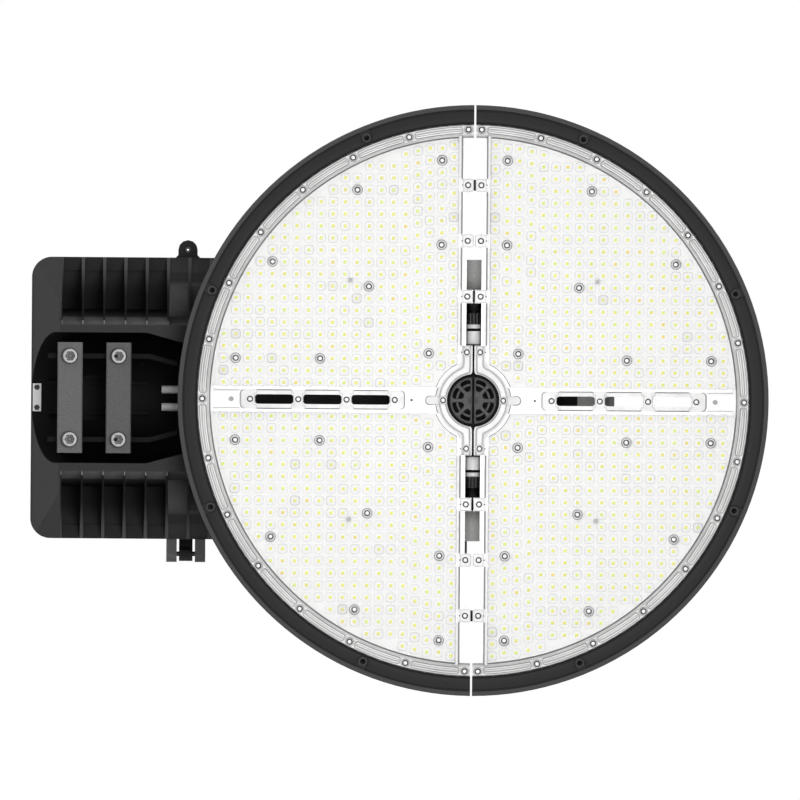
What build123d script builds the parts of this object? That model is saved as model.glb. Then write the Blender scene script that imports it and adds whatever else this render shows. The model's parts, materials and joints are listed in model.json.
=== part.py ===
from build123d import *
import math
import os

# High-mast light, seen in its own frame: +X from the pole along the housing, +Z up.
# The origin is on the tenon's axis, midway between the two clamp bars.
# The head is a disc of two half-disc light engines, hung under a long housing on three
# rails. Head pieces are drawn round the head's centre and moved out to it when saved.

# Tenon clamp
tenon_r = 30.15          # 2-3/8 inch pole arm
bar_offset = 24.2        # clamp bar's middle from the origin, along X
bar_w = 25.0
bar_l = 110.0
bar_t = 10.0
bar_chamfer = 1.2
bar_gap = 0.1            # bar to tenon
bolt_y = 41.5
bolt_r = 5.0
bolt_head_r = 7.9
bolt_head_h = 9.0
bolt_recess_r = 4.4
bolt_recess_d = 4.5
bolt_engage = 22.0       # shank above the saddle's foot
thread_gap = 0.1         # bolt in its tapped hole
bar_hole_gap = 0.5       # bolt in the bar

# Tenon saddle: two cross ribs joined by rails, in the vault of the housing
saddle_rib_w = 20.0
saddle_half_w = 52.0
saddle_foot_z = -28.0
saddle_top_z = 33.0      # flat seat under the vault's roof
saddle_seat_half = 22.0
saddle_shoulder_z = 6.0
saddle_rail_w = 5.0
saddle_rail_h = 16.0
saddle_rail_left = -46.5
saddle_rail_bend = 55.0
saddle_rail_right = 83.0
saddle_rail_in = 7.5     # how far the rail's end bends inwards
crown_rail_y = 15.0
crown_rail_w = 3.0
crown_rail_h = 4.0       # they hang from the vault's roof, clear of the tenon
saddle_bolt_y = 18.4
saddle_bolt_r = 3.0
saddle_bolt_head_r = 5.8
saddle_bolt_head_h = 4.0
saddle_bolt_tip = 26.6   # height of the bolt's end above the tenon's axis

# Housing tray
house_left = -62.8
house_right = 517.5
house_half_w = 140.0
house_corner = 20.0
wall = 5.0
tray_under = 38.0
floor_t = 4.0
tray_depth = 26.0
lip_strip_w = 13.6       # strip of the underside that stands lower, round the box end
lip_strip_drop = 2.0

# Housing block with the tenon's vault, ribbed at its sides like a cast gusset
land_z = -38.0
block_foot_left = -35.0
block_right = 118.0
end_foot_half_w = 96.0   # the solid end, left of the first rib
end_head_half_w = 144.0
rib_foot_half_w = 77.0
core_foot_half_w = 73.0
core_head_half_w = 88.0
vault_r = 65.0
vault_spring_z = -28.0
vault_end = 96.0
vault_taper_start = 52.0
vault_taper = 12.0
cheek_top_z = -6.0
rib_first = -33.0
rib_pitch = 21.2
rib_count = 8
rib_outer_t = 3.6
rib_inner_t = 1.2
shallow_from = 73.0
shallow_z = 4.0
sump_right = 156.0
sump_half_w = 28.0
sump_floor = 0.0
duct_y = 8.75            # lead sleeves, side by side
duct_z = 14.0
sleeve_r = 4.0
sleeve_bore = 2.9
sleeve_left = 67.1
sleeve_inside = 8.0      # sleeve's end past the wall

# Entry plate at the vault's mouth
plate_l = 27.6
plate_w = 8.4
plate_t = 2.0
plate_left = -61.2
plate_z = 33.0
plate_pad_t = 3.0
plate_screw_pitch = 20.0

# Cover, its gasket, hinges and captive screws
gasket_t = 2.0
gasket_w = 3.2
gasket_inset = 0.9
cover_h = 42.0
cover_t = 3.5
cover_bevel = 12.0
hinge_x = (92.2, 352.5)
hinge_out = 14.6         # pin's axis outside the housing's side
hinge_above = 1.0        # pin's axis above the cover's rim
fork_pitch = 28.4
fork_w = 10.4
fork_r = 8.2
fork_foot = 22.0         # fork's height where it leaves the wall
fork_web = 6.4
knuckle_w = 13.5
knuckle_r = 7.2
knuckle_arm = 10.0
pin_r = 2.35
pin_fit = 0.02           # pin in the forks
pin_run = 0.06           # pin in the knuckle
lug_out = 7.9            # screw's axis outside the other side
lug_r = 9.6
lug_flare = 12.2
lug_t = 12.0
ear_t = 8.0
latch_r = 3.0
latch_hole_gap = 0.6
latch_head_r = 5.5
latch_head_h = 5.0
latch_tip = 1.0          # screw's end above the lug's underside

# Carrier rails between the housing and the head
rail_w = 30.6
end_rail_w = 36.8
rail_h = 76.0
rail_t = 3.0
rail_screw_xs = (150.0, 320.0, 470.0)

# Light engines
head_x = 377.0
head_r = 294.0
lip_w = 4.5
band_w = 12.5
lip_drop = 12.0          # lip's face below the base plate's
band_drop = 5.5
crease_h = 1.4           # step between the lip and the sloped band
split_gap = 1.9
channel_half = 7.4
tab_half = 6.6
tab_first = 48.0
tab_screw_x = 6.6
tab_rows = 4
base_t = 6.0
fin_top_gap = 2.0
fin_h = 46.0
fin_t = 2.4
fin_first = 10.0
fin_pitch = 24.0
fin_rim_gap = 20.0       # at least, from the last fin to the lens seat's edge
fin_edge = 5.0           # fin's end inside the lens seat
fin_level = 150.0        # fins are level out to here, then fall to the rim
fin_fall = 30.0
fin_channel_gap = 3.0
chimney_r = 22.0
bore_facets = 24         # the vent's bores behind the grille have straight facets
guard_count = 8          # holes for a guard or shield, round the rim
guard_r = 2.6
guard_inset = 12.0
guard_pad_half = 5.0
guard_pad_drop = 0.5
guard_depth = 13.0       # the holes are blind
boss_r = 8.0
left_boss_xs = (60.0, 200.0)  # bosses under the side rails, from the split outwards
right_boss_xs = (45.0,)
end_boss_y = 60.0        # bosses under the end rail
engine_screw_l = 19.0
joiner_row = 3           # row of tabs that a joiner ties across the split
joiner_l = 11.0
joiner_half_w = 9.4
joiner_t = 4.0

# Lens, boards and seals
lens_edge_gap = 2.4
flange_w = 13.4
lens_t = 3.0
optic_raise = 4.0
channel_flange = 4.6
band_half = 9.5
vent_flange = 10.0
optic_corner = 5.0
optic_wall = 3.0
facets = 48              # straight facets in a full turn, for edges under the lens
seal_w = 2.6
seal_t = 1.2
board_t = 1.6
board_gap = 0.4
rim_screw_inset = 4.9
rim_screw_steps = 7

# Slots along the middle of each half, with their bezel
slot_first = 102.0
slot_pitch = 48.0
slot_count = 3
slot_l = 38.2
slot_w = 9.6
slot_corner = 3.0
slot_gap = 0.6
bezel_end = 10.3
bezel_t = 2.0
bezel_half = 9.3
vent_screw_x = 30.0

# Vent grille in the middle
vent_r = 25.4
vent_gap = 0.6
vent_t = 5.5
window_in = 10.0
window_out = 20.7
window_bar = 4.0
vent_ring_r = 15.5
vent_ring_w = 1.2
vent_ring_t = 1.5

# Small screws
small_head_r = 2.9
small_head_h = 1.8
small_r = 1.6
small_depth = 4.0
small_gap = 0.2
cut = 1.0                # how far a cutter runs past the face it opens

# Wiring hub over the vent and the plugs on its two ends
hub_half_x = 30.0
hub_h = 36.0
hub_corner = 6.0
hub_gap = 3.0
hub_screw_inset = (7.0, 9.0)
plug_drop = 18.0         # plug's axis below the hub's top
plug_gasket_l = 3.0
plug_gasket_r = 7.9
socket_l = 13.0
socket_r = 7.6
ring_l = 2.6
ring_r = 7.0
collar_l = 4.1
collar_r = 7.4
nut_l = 13.8
nut_r = 7.8
boot_r = 5.2
boot_bend = 9.0
boot_rise = 8.0
lead_r = 3.3
lead_inset = 10.9        # lead's axis inside the side rails
gland_r = 8.0
gland_h = 10.0
gland_neck_r = 6.0

# Control gear in the tray
driver_l = 240.0
driver_w = 80.0
driver_h = 36.0
driver_gap = 4.0         # from the sump to the control gear's feet
driver_neck_gap = 4.5    # from the glands' necks to the control gear
foot_l = 12.0
foot_t = 3.0
foot_screw_pitch = 54.0
gear_screw_r = 2.5
gear_head_r = 4.6
gear_head_h = 3.0
block_x = 60.0
block_w = 24.0
block_l = 64.0
block_h = 20.0
block_ways = 3
way_w = 15.0
way_deep = 10.0
way_in = 8.0
surge_l = 56.0
surge_w = 34.0
surge_h = 28.0
surge_x = 70.0
surge_inset = 23.0       # inside the tray's wall, on the latch side
earth_x = 10.0
earth_inset = 40.0       # inside the tray's wall, on the hinge side
earth_boss_r = 7.0
earth_boss_h = 6.0

# Levels and radii that follow
floor_z = tray_under + floor_t
rim_z = floor_z + tray_depth
cover_z = rim_z + gasket_t
hinge_z = cover_z + hinge_above
hinge_y = house_half_w + hinge_out
lug_y = -house_half_w - lug_out
earth_place = (earth_x, house_half_w - wall - earth_inset)
bar_top = -tenon_r - bar_gap
rail_foot = tray_under - rail_h
fin_top = rail_foot - fin_top_gap
base_top = fin_top - fin_h
seat_z = base_top - base_t
lip_z = seat_z - lip_drop
seat_r = head_r - lip_w - band_w
lens_r = seat_r - lens_edge_gap
optic_r = lens_r - flange_w
optic_x = channel_half + channel_flange
vent_edge = vent_r + vent_gap + vent_flange
flange_z = seat_z - lens_t
optic_z = flange_z - optic_raise
rim_screw_r = lens_r - rim_screw_inset
rim_screw_y = math.sqrt(rim_screw_r**2 - tab_screw_x**2)
rim_step = math.degrees(math.acos(tab_screw_x / rim_screw_r)) / rim_screw_steps
tab_pitch = (rim_screw_y - tab_first) / tab_rows
tab_ys = [tab_first + tab_pitch * k for k in range(tab_rows)]
fin_count = int((seat_r - fin_rim_gap - fin_first) / fin_pitch) + 1
slot_xs = [slot_first + slot_pitch * k for k in range(slot_count)]
bezel_screw_xs = [slot_first + slot_pitch * (k - 0.5) for k in range(slot_count + 1)]
hub_top = base_top + hub_h
plug_z = hub_top - plug_drop
lead_y = house_half_w - rail_w - lead_inset
boot_start = lead_y - boot_bend
hub_half_y = boot_start - plug_gasket_l - socket_l - ring_l - collar_l - nut_l
hub_screw_x = hub_half_x - hub_screw_inset[0]
hub_screw_y = hub_half_y - hub_screw_inset[1]
driver_x = sump_right + driver_gap + foot_l + driver_l / 2
driver_y = lead_y - gland_neck_r - driver_neck_gap - driver_w / 2


def block(x0, x1, y0, y1, z0, z1):
    """A box between two corners."""
    middle = Pos((x0 + x1) / 2, (y0 + y1) / 2, (z0 + z1) / 2)
    return middle * Box(abs(x1 - x0), abs(y1 - y0), abs(z1 - z0))


def disc(x, y, r, z0, z1):
    """An upright cylinder."""
    return Pos(x, y, (z0 + z1) / 2) * Cylinder(r, abs(z1 - z0))


def prism(x, y, r, z0, z1, sides=6):
    """An upright prism: six-sided for small screws, twelve-sided for bolts and plugs."""
    return extrude(Pos(x, y, min(z0, z1)) * RegularPolygon(r, sides), abs(z1 - z0))


def lying(r, start, end, z):
    """A twelve-sided piece along Y, from one distance to another."""
    return extrude(Pos(0, end, z) * Rot(90, 0, 0) * RegularPolygon(r, 12), end - start)


def across(x, y, z, r, length):
    """A twelve-sided piece along X, by its middle."""
    return extrude(Pos(x - length / 2, y, z) * Rot(0, 90, 0) * RegularPolygon(r, 12), length)


def screw(x, y, face_z, head_r, head_h, shank_r, depth, up):
    """A hexagon screw whose head stands on face_z; up is the way the shank points."""
    head = prism(x, y, head_r, face_z, face_z - up * head_h)
    return head + prism(x, y, shank_r, face_z, face_z + up * depth)


def plan_box(inset, z0, z1, rounded=True):
    """The housing's outline drawn in by inset: rounded outside, plain corners inside."""
    length = house_right - house_left - 2 * inset
    width = 2 * (house_half_w - inset)
    if rounded:
        outline = RectangleRounded(length, width, house_corner - inset)
    else:
        outline = chamfer(Rectangle(length, width).vertices(), house_corner - inset)
    return extrude(Pos((house_left + house_right) / 2, 0, z0) * outline, z1 - z0)


def side_profile(points, x0, x1):
    """A prism along X whose outline is given as (y, z) points."""
    outline = Plane.YZ.offset(x0) * make_face(Polyline(*points, close=True))
    return extrude(outline, x1 - x0)


def both_sides(piece):
    """A piece and its mirror image across the middle plane Y = 0."""
    return piece + mirror(piece, Plane.XZ)


def save(name, *pieces):
    solids = [s for piece in pieces for s in piece.solids()]
    whole = solids[0] if len(solids) == 1 else Compound(solids)
    export_step(whole, f"parts/{name}.step")


def save_on_head(name, *pieces):
    save(name, *[Pos(head_x, 0, 0) * piece for piece in pieces])


# The housing's block under the tray

def hip(foot_half_w, head_half_w, x0, x1):
    """A length of the block: narrow at its foot and wide under the tray."""
    return side_profile((
        (-foot_half_w, land_z),
        (foot_half_w, land_z),
        (head_half_w, tray_under),
        (-head_half_w, tray_under),
    ), x0, x1)


def ribbed_block():
    """A solid sloped end, a core behind the ribs and shallower cells near the head."""
    end = make_face(Polyline(
        (block_foot_left, land_z),
        (rib_first, land_z),
        (rib_first, tray_under),
        (house_left, tray_under),
        close=True,
    ))
    end = extrude(Plane.XZ.offset(-house_half_w) * end, 2 * house_half_w)
    end = end & hip(end_foot_half_w, end_head_half_w, house_left, rib_first)
    end = end & plan_box(0, land_z, tray_under)
    cells = hip(rib_foot_half_w, house_half_w, shallow_from, block_right)
    cells &= block(shallow_from, block_right, -house_half_w, house_half_w, shallow_z, tray_under)
    core = hip(core_foot_half_w, core_head_half_w, rib_first, block_right)
    return core + [end, cells, *[both_sides(rib(rib_first + k * rib_pitch))
                                 for k in range(rib_count)]]


def rib(x):
    """One side rib: thin at the block, thick at the box's edge, with a sloping crest."""
    plan = make_face(Polyline(
        (x - rib_inner_t / 2, core_foot_half_w - wall),
        (x + rib_inner_t / 2, core_foot_half_w - wall),
        (x + rib_outer_t / 2, house_half_w),
        (x - rib_outer_t / 2, house_half_w),
        close=True,
    ))
    slab = extrude(Pos(0, 0, land_z) * plan, tray_under - land_z)
    crest = side_profile((
        (core_foot_half_w - wall, land_z),
        (rib_foot_half_w, land_z),
        (house_half_w, tray_under - lip_strip_drop),
        (house_half_w, tray_under),
        (core_foot_half_w - wall, tray_under),
    ), x - rib_outer_t, x + rib_outer_t)
    return slab & crest


def vault():
    """The arched tunnel for the tenon: upright sides under a half-round roof."""
    start = house_left - wall
    arch = Pos((start + vault_end) / 2, 0, vault_spring_z) * Rot(0, 90, 0)
    roof = arch * Cylinder(vault_r, vault_end - start)
    sides = block(start, vault_end, -vault_r, vault_r, land_z - wall, vault_spring_z)
    lower = block(start, vault_end, -2 * vault_r, 2 * vault_r, land_z - 2 * vault_r, land_z - wall)
    return roof - lower + sides


def vault_cheek():
    """The wall that narrows the vault towards its blind end."""
    plan = make_face(Polyline(
        (vault_taper_start, vault_r),
        (vault_end, vault_r - vault_taper),
        (vault_end, vault_r + cut),
        (vault_taper_start, vault_r + cut),
        close=True,
    ))
    return extrude(Pos(0, 0, land_z) * plan, cheek_top_z - land_z)


def fork(x):
    """One hinge fork of the housing: two rounded arms on a web."""
    web_half = (fork_pitch + fork_w) / 2
    foot_z = rim_z - fork_foot
    web = block(x - web_half, x + web_half, house_half_w - fork_web, house_half_w, foot_z, rim_z)
    for side in (-1, 1):
        middle = x + side * fork_pitch / 2
        arm = side_profile((
            (house_half_w, foot_z),
            (hinge_y, hinge_z - fork_r),
            (hinge_y, hinge_z),
            (house_half_w, rim_z),
        ), middle - fork_w / 2, middle + fork_w / 2)
        web += arm + across(middle, hinge_y, hinge_z, fork_r, fork_w)
    bore = Cylinder(pin_r + pin_fit, 2 * (web_half + cut))
    return web, Pos(x, hinge_y, hinge_z) * Rot(0, 90, 0) * bore


def lug(x, z0, z1):
    """A flared round lug on the latch side, for the housing and for the cover."""
    edge = -house_half_w
    flare = make_face(Polyline(
        (x - lug_flare, edge + wall / 2),
        (x - lug_flare, edge),
        (x - lug_r, edge - (lug_flare - lug_r)),
        (x - lug_r, lug_y),
        (x + lug_r, lug_y),
        (x + lug_r, edge - (lug_flare - lug_r)),
        (x + lug_flare, edge),
        (x + lug_flare, edge + wall / 2),
        close=True,
    ))
    return extrude(Pos(0, 0, z0) * flare, z1 - z0) + prism(x, lug_y, lug_r, z0, z1, 12)


def main_housing():
    """The tray, its lip, the ribbed block with the tenon's vault, forks and lugs."""
    tray = plan_box(0, tray_under, rim_z) - plan_box(wall, floor_z, rim_z + cut, False)
    strip = plan_box(0, tray_under - lip_strip_drop, tray_under)
    strip -= plan_box(lip_strip_w, tray_under - lip_strip_drop, tray_under, False)
    strip &= block(house_left, block_right, -house_half_w, house_half_w, 0, tray_under)
    sump = block(vault_end, sump_right + wall, -sump_half_w - wall, sump_half_w + wall,
                 sump_floor - floor_t, tray_under)
    body = tray + [strip, ribbed_block(), sump] - vault()
    seat_half_l = bar_offset + saddle_rib_w / 2
    pad_top = plate_z + plate_t + plate_pad_t
    added = [
        both_sides(vault_cheek()),
        block(plate_left, plate_left + plate_w, -plate_l / 2, plate_l / 2,
              plate_z + plate_t, pad_top),
        block(-seat_half_l, seat_half_l, -saddle_seat_half, saddle_seat_half,
              saddle_top_z, tray_under),
        prism(*earth_place, earth_boss_r, floor_z, floor_z + earth_boss_h),
    ]
    cuts = [
        block(block_right, sump_right, -sump_half_w, sump_half_w, sump_floor, floor_z + cut),
        prism(*earth_place, gear_screw_r + small_gap / 2, floor_z, floor_z + earth_boss_h + cut),
    ]
    for side in (-1, 1):
        cuts.append(across((vault_end + block_right) / 2, side * duct_y, duct_z, sleeve_r,
                           block_right - vault_end + 2 * cut))
        cuts.append(prism(plate_left + plate_w / 2, side * plate_screw_pitch / 2,
                          small_r + small_gap / 2, plate_z, plate_z + small_depth + plate_t))
        cuts.append(prism(head_x, side * lead_y, gland_neck_r, tray_under - cut, floor_z + cut))
    for x, y in saddle_bolt_places:
        cuts.append(prism(x, y, saddle_bolt_r + thread_gap, 0, floor_z + cut, 12))
    for x in hinge_x:
        arms, bore = fork(x)
        added += [arms, lug(x, rim_z - lug_t, rim_z)]
        cuts.append(bore)
        cuts.append(prism(x, lug_y, latch_r + latch_hole_gap, rim_z - lug_t - cut,
                          rim_z + cut, 12))
    for x, y in gear_screw_places + rail_screw_places:
        cuts.append(prism(x, y, gear_screw_r + small_gap / 2, tray_under - cut, floor_z + cut))
    return body + added - cuts


def tenon_saddle():
    """Two cross ribs that seat in the vault and fit the tenon, joined by rails along X."""
    ribs = [side_profile((
        (-saddle_half_w, saddle_foot_z),
        (saddle_half_w, saddle_foot_z),
        (saddle_half_w, saddle_shoulder_z),
        (saddle_seat_half, saddle_top_z),
        (-saddle_seat_half, saddle_top_z),
        (-saddle_half_w, saddle_shoulder_z),
    ), x - saddle_rib_w / 2, x + saddle_rib_w / 2) for x in (-bar_offset, bar_offset)]
    low, high = bolt_y - saddle_rail_w / 2, bolt_y + saddle_rail_w / 2
    rail = make_face(Polyline(
        (saddle_rail_left, low), (saddle_rail_bend, low),
        (saddle_rail_right, low - saddle_rail_in), (saddle_rail_right, high - saddle_rail_in),
        (saddle_rail_bend, high), (saddle_rail_left, high), close=True,
    ))
    rail = extrude(Pos(0, 0, saddle_foot_z) * rail, saddle_rail_h)
    crown = block(saddle_rail_left, saddle_rail_bend, crown_rail_y - crown_rail_w / 2,
                  crown_rail_y + crown_rail_w / 2, saddle_top_z - crown_rail_h, saddle_top_z)
    body = ribs[0] + [ribs[1], both_sides(rail), both_sides(crown)]
    cuts = [
        Rot(0, 90, 0) * Cylinder(tenon_r, 4 * bar_l),
        block(-2 * bar_l, 2 * bar_l, -tenon_r, tenon_r, saddle_foot_z - cut, 0),
    ]
    for x, y in clamp_bolt_places:
        cuts.append(prism(x, y, bolt_r + thread_gap, saddle_foot_z - cut,
                          saddle_foot_z + bolt_engage + cut, 12))
    for x, y in saddle_bolt_places:
        cuts.append(prism(x, y, saddle_bolt_r + thread_gap, saddle_bolt_tip - cut,
                          saddle_top_z + cut, 12))
    return body - cuts


def clamp_bar(x):
    bar = block(x - bar_w / 2, x + bar_w / 2, -bar_l / 2, bar_l / 2, bar_top - bar_t, bar_top)
    bar = chamfer(bar.edges().filter_by(Axis.Y), bar_chamfer)
    return bar - [prism(x, y, bolt_r + bar_hole_gap, bar_top - bar_t - cut, bar_top + cut, 12)
                  for y in (-bolt_y, bolt_y)]


def clamp_bolt(x, y):
    """Cap bolt, head down, with a hexagon recess."""
    face = bar_top - bar_t
    head = prism(x, y, bolt_head_r, face - bolt_head_h, face, 12)
    head -= prism(x, y, bolt_recess_r, face - bolt_head_h - cut,
                  face - bolt_head_h + bolt_recess_d)
    return head + prism(x, y, bolt_r, face, saddle_foot_z + bolt_engage, 12)


def driver_cover():
    """A deep lid with bevelled top edges, hinge knuckles and two ears."""
    top = cover_z + cover_h
    outer = plan_box(0, cover_z, top)
    outer = chamfer(outer.faces().sort_by(Axis.Z)[-1].edges(), cover_bevel)
    inner = plan_box(cover_t, cover_z - cut, top - cover_t, False)
    inner = chamfer(inner.faces().sort_by(Axis.Z)[-1].edges(), cover_bevel)
    rim = plan_box(cover_t / 2, cover_z, cover_z + cover_t)
    rim -= plan_box(gasket_inset + gasket_w + cut, cover_z - cut, cover_z + cover_t + cut, False)
    body = outer - inner
    added, cuts = [rim], []
    for x in hinge_x:
        arm = side_profile((
            (house_half_w - cover_t / 2, cover_z + knuckle_arm / 2),
            (hinge_y, hinge_z),
            (hinge_y, hinge_z + knuckle_r),
            (house_half_w - cover_t / 2, cover_z + knuckle_arm * 1.5),
        ), x - knuckle_w / 2, x + knuckle_w / 2)
        added += [arm, across(x, hinge_y, hinge_z, knuckle_r, knuckle_w),
                  lug(x, cover_z, cover_z + ear_t)]
        pin_hole = Cylinder(pin_r + pin_run, knuckle_w + 2 * cut)
        cuts += [Pos(x, hinge_y, hinge_z) * Rot(0, 90, 0) * pin_hole,
                 prism(x, lug_y, latch_r + latch_hole_gap, cover_z - cut, cover_z + ear_t + cut, 12)]
    return body + added - cuts


def latch_screw(x):
    """Captive screw: a hexagon head on the ear and a shank down into the lug."""
    top = cover_z + ear_t
    head = prism(x, lug_y, latch_head_r, top, top + latch_head_h)
    return head + prism(x, lug_y, latch_r, rim_z - lug_t + latch_tip, top, 12)


def box_tube(x0, x1, y0, y1, along_x):
    """A hollow rectangular rail between the tray and the head."""
    tube = block(x0, x1, y0, y1, rail_foot, tray_under)
    if along_x:
        return tube - block(x0 - cut, x1 + cut, y0 + rail_t, y1 - rail_t,
                            rail_foot + rail_t, tray_under - rail_t)
    return tube - block(x0 + rail_t, x1 - rail_t, y0 - cut, y1 + cut,
                        rail_foot + rail_t, tray_under - rail_t)


# The head, drawn as its right half round the head's centre

def right_half(z0, z1):
    return block(split_gap / 2, head_r + cut, -head_r - cut, head_r + cut, z0, z1)


def left_of(piece):
    return mirror(piece, Plane.YZ)


def windows():
    """The open windows of the channel between the halves, as (start, end) along Y."""
    starts = [y + tab_half for y in tab_ys]
    ends = [y - tab_half for y in tab_ys[1:] + [rim_screw_y]]
    return list(zip(starts, ends))


def slot_hole(x, grow, z0, z1):
    """A long air slot with cut corners."""
    hole = chamfer(Rectangle(slot_l + grow, slot_w + grow).vertices(), slot_corner)
    return extrude(Pos(x, 0, z0) * hole, z1 - z0)


def half_plate(radius, bore, slot_grow, z0, z1):
    """Half disc with channel windows, a hole for the vent and three slots."""
    cuts = [bore]
    for y0, y1 in windows():
        cuts.append(both_sides(block(-cut, channel_half, y0, y1, z0 - cut, z1 + cut)))
    cuts += [slot_hole(x, slot_grow, z0 - cut, z1 + cut) for x in slot_xs]
    return (disc(0, 0, radius, z0, z1) & right_half(z0, z1)) - cuts


def quadrant(inset, z0, z1, smooth=False):
    """One quarter's optic field, drawn in by inset from the flange's inner edge.

    What lies under the lens is drawn with straight facets instead of its two arcs.
    """
    span = Rectangle(optic_r, optic_r, align=(Align.MIN, Align.MIN))
    corner = Pos(optic_x + inset, band_half + inset) * span
    if smooth:
        field = Circle(optic_r - inset) & corner
        field -= Circle(vent_edge + inset)
        field = chamfer(field.vertices(), optic_corner)
    else:
        field = RegularPolygon(optic_r - inset, facets) & corner
        field -= RegularPolygon(vent_edge + inset, facets)
    return extrude(Pos(0, 0, z0) * field, z1 - z0)


def fin(y):
    """One upright fin along X, level and then falling towards the rim."""
    start = channel_half + fin_channel_gap
    if abs(y) < hub_half_y + hub_gap:
        start = hub_half_x + hub_gap
    end = math.sqrt((seat_r - fin_edge)**2 - y**2)
    reach = seat_r - fin_edge - fin_level
    points = [(start, base_top), (start, fin_top)]
    if end > fin_level:
        points += [(fin_level, fin_top), (end, fin_top - fin_fall * (end - fin_level) / reach)]
    else:
        points += [(end, fin_top)]
    points += [(end, base_top)]
    outline = Plane.XZ.offset(-y - fin_t / 2) * make_face(Polyline(*points, close=True))
    return extrude(outline, fin_t)


def guard_pad(angle):
    """A blunt-ended pad from the rim's lip inwards, with a blind hole for a guard's screw."""
    reach = head_r - guard_inset
    top = seat_z - band_drop
    low = lip_z + guard_pad_drop
    half = guard_pad_half
    plan = make_face(Polyline(
        (head_r - lip_w / 2, -half), (reach, -half), (reach - half, -half / 2),
        (reach - half, half / 2), (reach, half), (head_r - lip_w / 2, half), close=True,
    ))
    pad = extrude(Pos(0, 0, low) * plan, top - low)
    hole = disc(reach, 0, guard_r, lip_z - cut, lip_z + guard_depth)
    return Rot(0, 0, angle) * pad, Rot(0, 0, angle) * hole


def lens_screw_places():
    """Screws of the right half: round the rim, along the channel and on the bezel."""
    angles = [math.radians(rim_step * k) for k in range(-rim_screw_steps, rim_screw_steps + 1)]
    rim = [(rim_screw_r * math.cos(a), rim_screw_r * math.sin(a)) for a in angles]
    channel = [(tab_screw_x, side * y) for y in tab_ys for side in (-1, 1)]
    return rim, channel + [(vent_screw_x, 0)], [(x, 0) for x in bezel_screw_xs]


def heat_sink(bosses):
    """Finned half disc with a lip round its rim, all one casting."""
    chimney = prism(0, 0, chimney_r, seat_z - cut, base_top + cut, bore_facets)
    plate = half_plate(seat_r + cut, chimney, slot_gap, seat_z, base_top)
    rim = make_face(Polyline(
        (seat_r, base_top),
        (head_r, base_top),
        (head_r, lip_z),
        (head_r - lip_w, lip_z),
        (head_r - lip_w, lip_z + crease_h),
        (seat_r, seat_z - band_drop),
        close=True,
    ))
    pads = [guard_pad(360 / guard_count * (k + 0.5)) for k in range(guard_count)]
    ring = revolve(Plane.XZ * rim, Axis.Z) + [pad for pad, hole in pads]
    ring = ring - [hole for pad, hole in pads]
    ring &= right_half(lip_z - cut, base_top + cut)
    fins = [fin(side * (fin_first + fin_pitch * k)) for k in range(fin_count) for side in (-1, 1)]
    studs = [prism(x, y, boss_r, base_top, rail_foot, 12) for x, y in bosses]
    cuts = [prism(x, y, gear_screw_r + small_gap / 2, base_top + fin_h / 2, rail_foot + cut)
            for x, y in bosses]
    cuts += [prism(hub_screw_x, side * hub_screw_y, small_r + small_gap / 2,
                   base_top - small_depth, base_top + cut) for side in (-1, 1)]
    return plate + [ring, *fins, *studs] - cuts


def lens():
    """Clear half lens: a flange, with two raised trays over the boards."""
    bore = disc(0, 0, vent_r + vent_gap, flange_z - cut, seat_z + cut)
    body = half_plate(lens_r, bore, slot_gap, flange_z, seat_z)
    field = quadrant(0, optic_z, seat_z, True)
    hollow = quadrant(optic_wall, optic_z + lens_t, seat_z + cut)
    rebate = quadrant(optic_wall - seal_w, seat_z - seal_t, seat_z + cut)
    return body + both_sides(field) - [both_sides(hollow), both_sides(rebate)]


def lens_seal():
    ring = quadrant(optic_wall - seal_w, seat_z - seal_t, seat_z)
    ring -= quadrant(optic_wall, seat_z - seal_t - cut, seat_z + cut)
    return mirrored(ring)


def slot_bezel():
    """Flat strip round the three slots."""
    x0, x1 = bezel_screw_xs[0] - bezel_end, bezel_screw_xs[-1] + bezel_end
    strip = chamfer(Rectangle(x1 - x0, 2 * bezel_half).vertices(), slot_corner)
    body = extrude(Pos((x0 + x1) / 2, 0, flange_z - bezel_t) * strip, bezel_t)
    return body - [slot_hole(x, 0, flange_z - bezel_t - cut, flange_z + cut) for x in slot_xs]


def vent_grille():
    """Half of the round vent: a solid middle, four windows and a ring behind them."""
    low = seat_z - vent_t
    body = disc(0, 0, vent_r, low, seat_z) & right_half(low, seat_z)
    ring = prism(0, 0, window_out, low - cut, seat_z + cut, bore_facets)
    ring -= prism(0, 0, window_in, low - cut, seat_z + cut, bore_facets)
    ring &= right_half(low - cut, seat_z + cut)
    bars = [Rot(0, 0, 45 * k) * block(0, vent_r, -window_bar / 2, window_bar / 2,
                                      low - cut, seat_z + cut) for k in range(-1, 2)]
    bars.append(block(0, window_bar / 2, -vent_r, vent_r, low - cut, seat_z + cut))
    back = prism(0, 0, vent_ring_r + vent_ring_w / 2, seat_z - vent_ring_t, seat_z, bore_facets)
    back -= prism(0, 0, vent_ring_r - vent_ring_w / 2, seat_z - vent_ring_t - cut, seat_z + cut,
                  bore_facets)
    return body - (ring - bars) + (back & right_half(low, seat_z))


def mirrored(piece):
    return [piece, mirror(piece, Plane.XZ)]


# Plug stacks: each piece starts where the last one ends, outwards from the hub
plug_marks = [hub_half_y]
for step in (plug_gasket_l, socket_l, ring_l, collar_l, nut_l):
    plug_marks.append(plug_marks[-1] + step)
boot_top = plug_z + boot_bend + boot_rise


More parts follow.
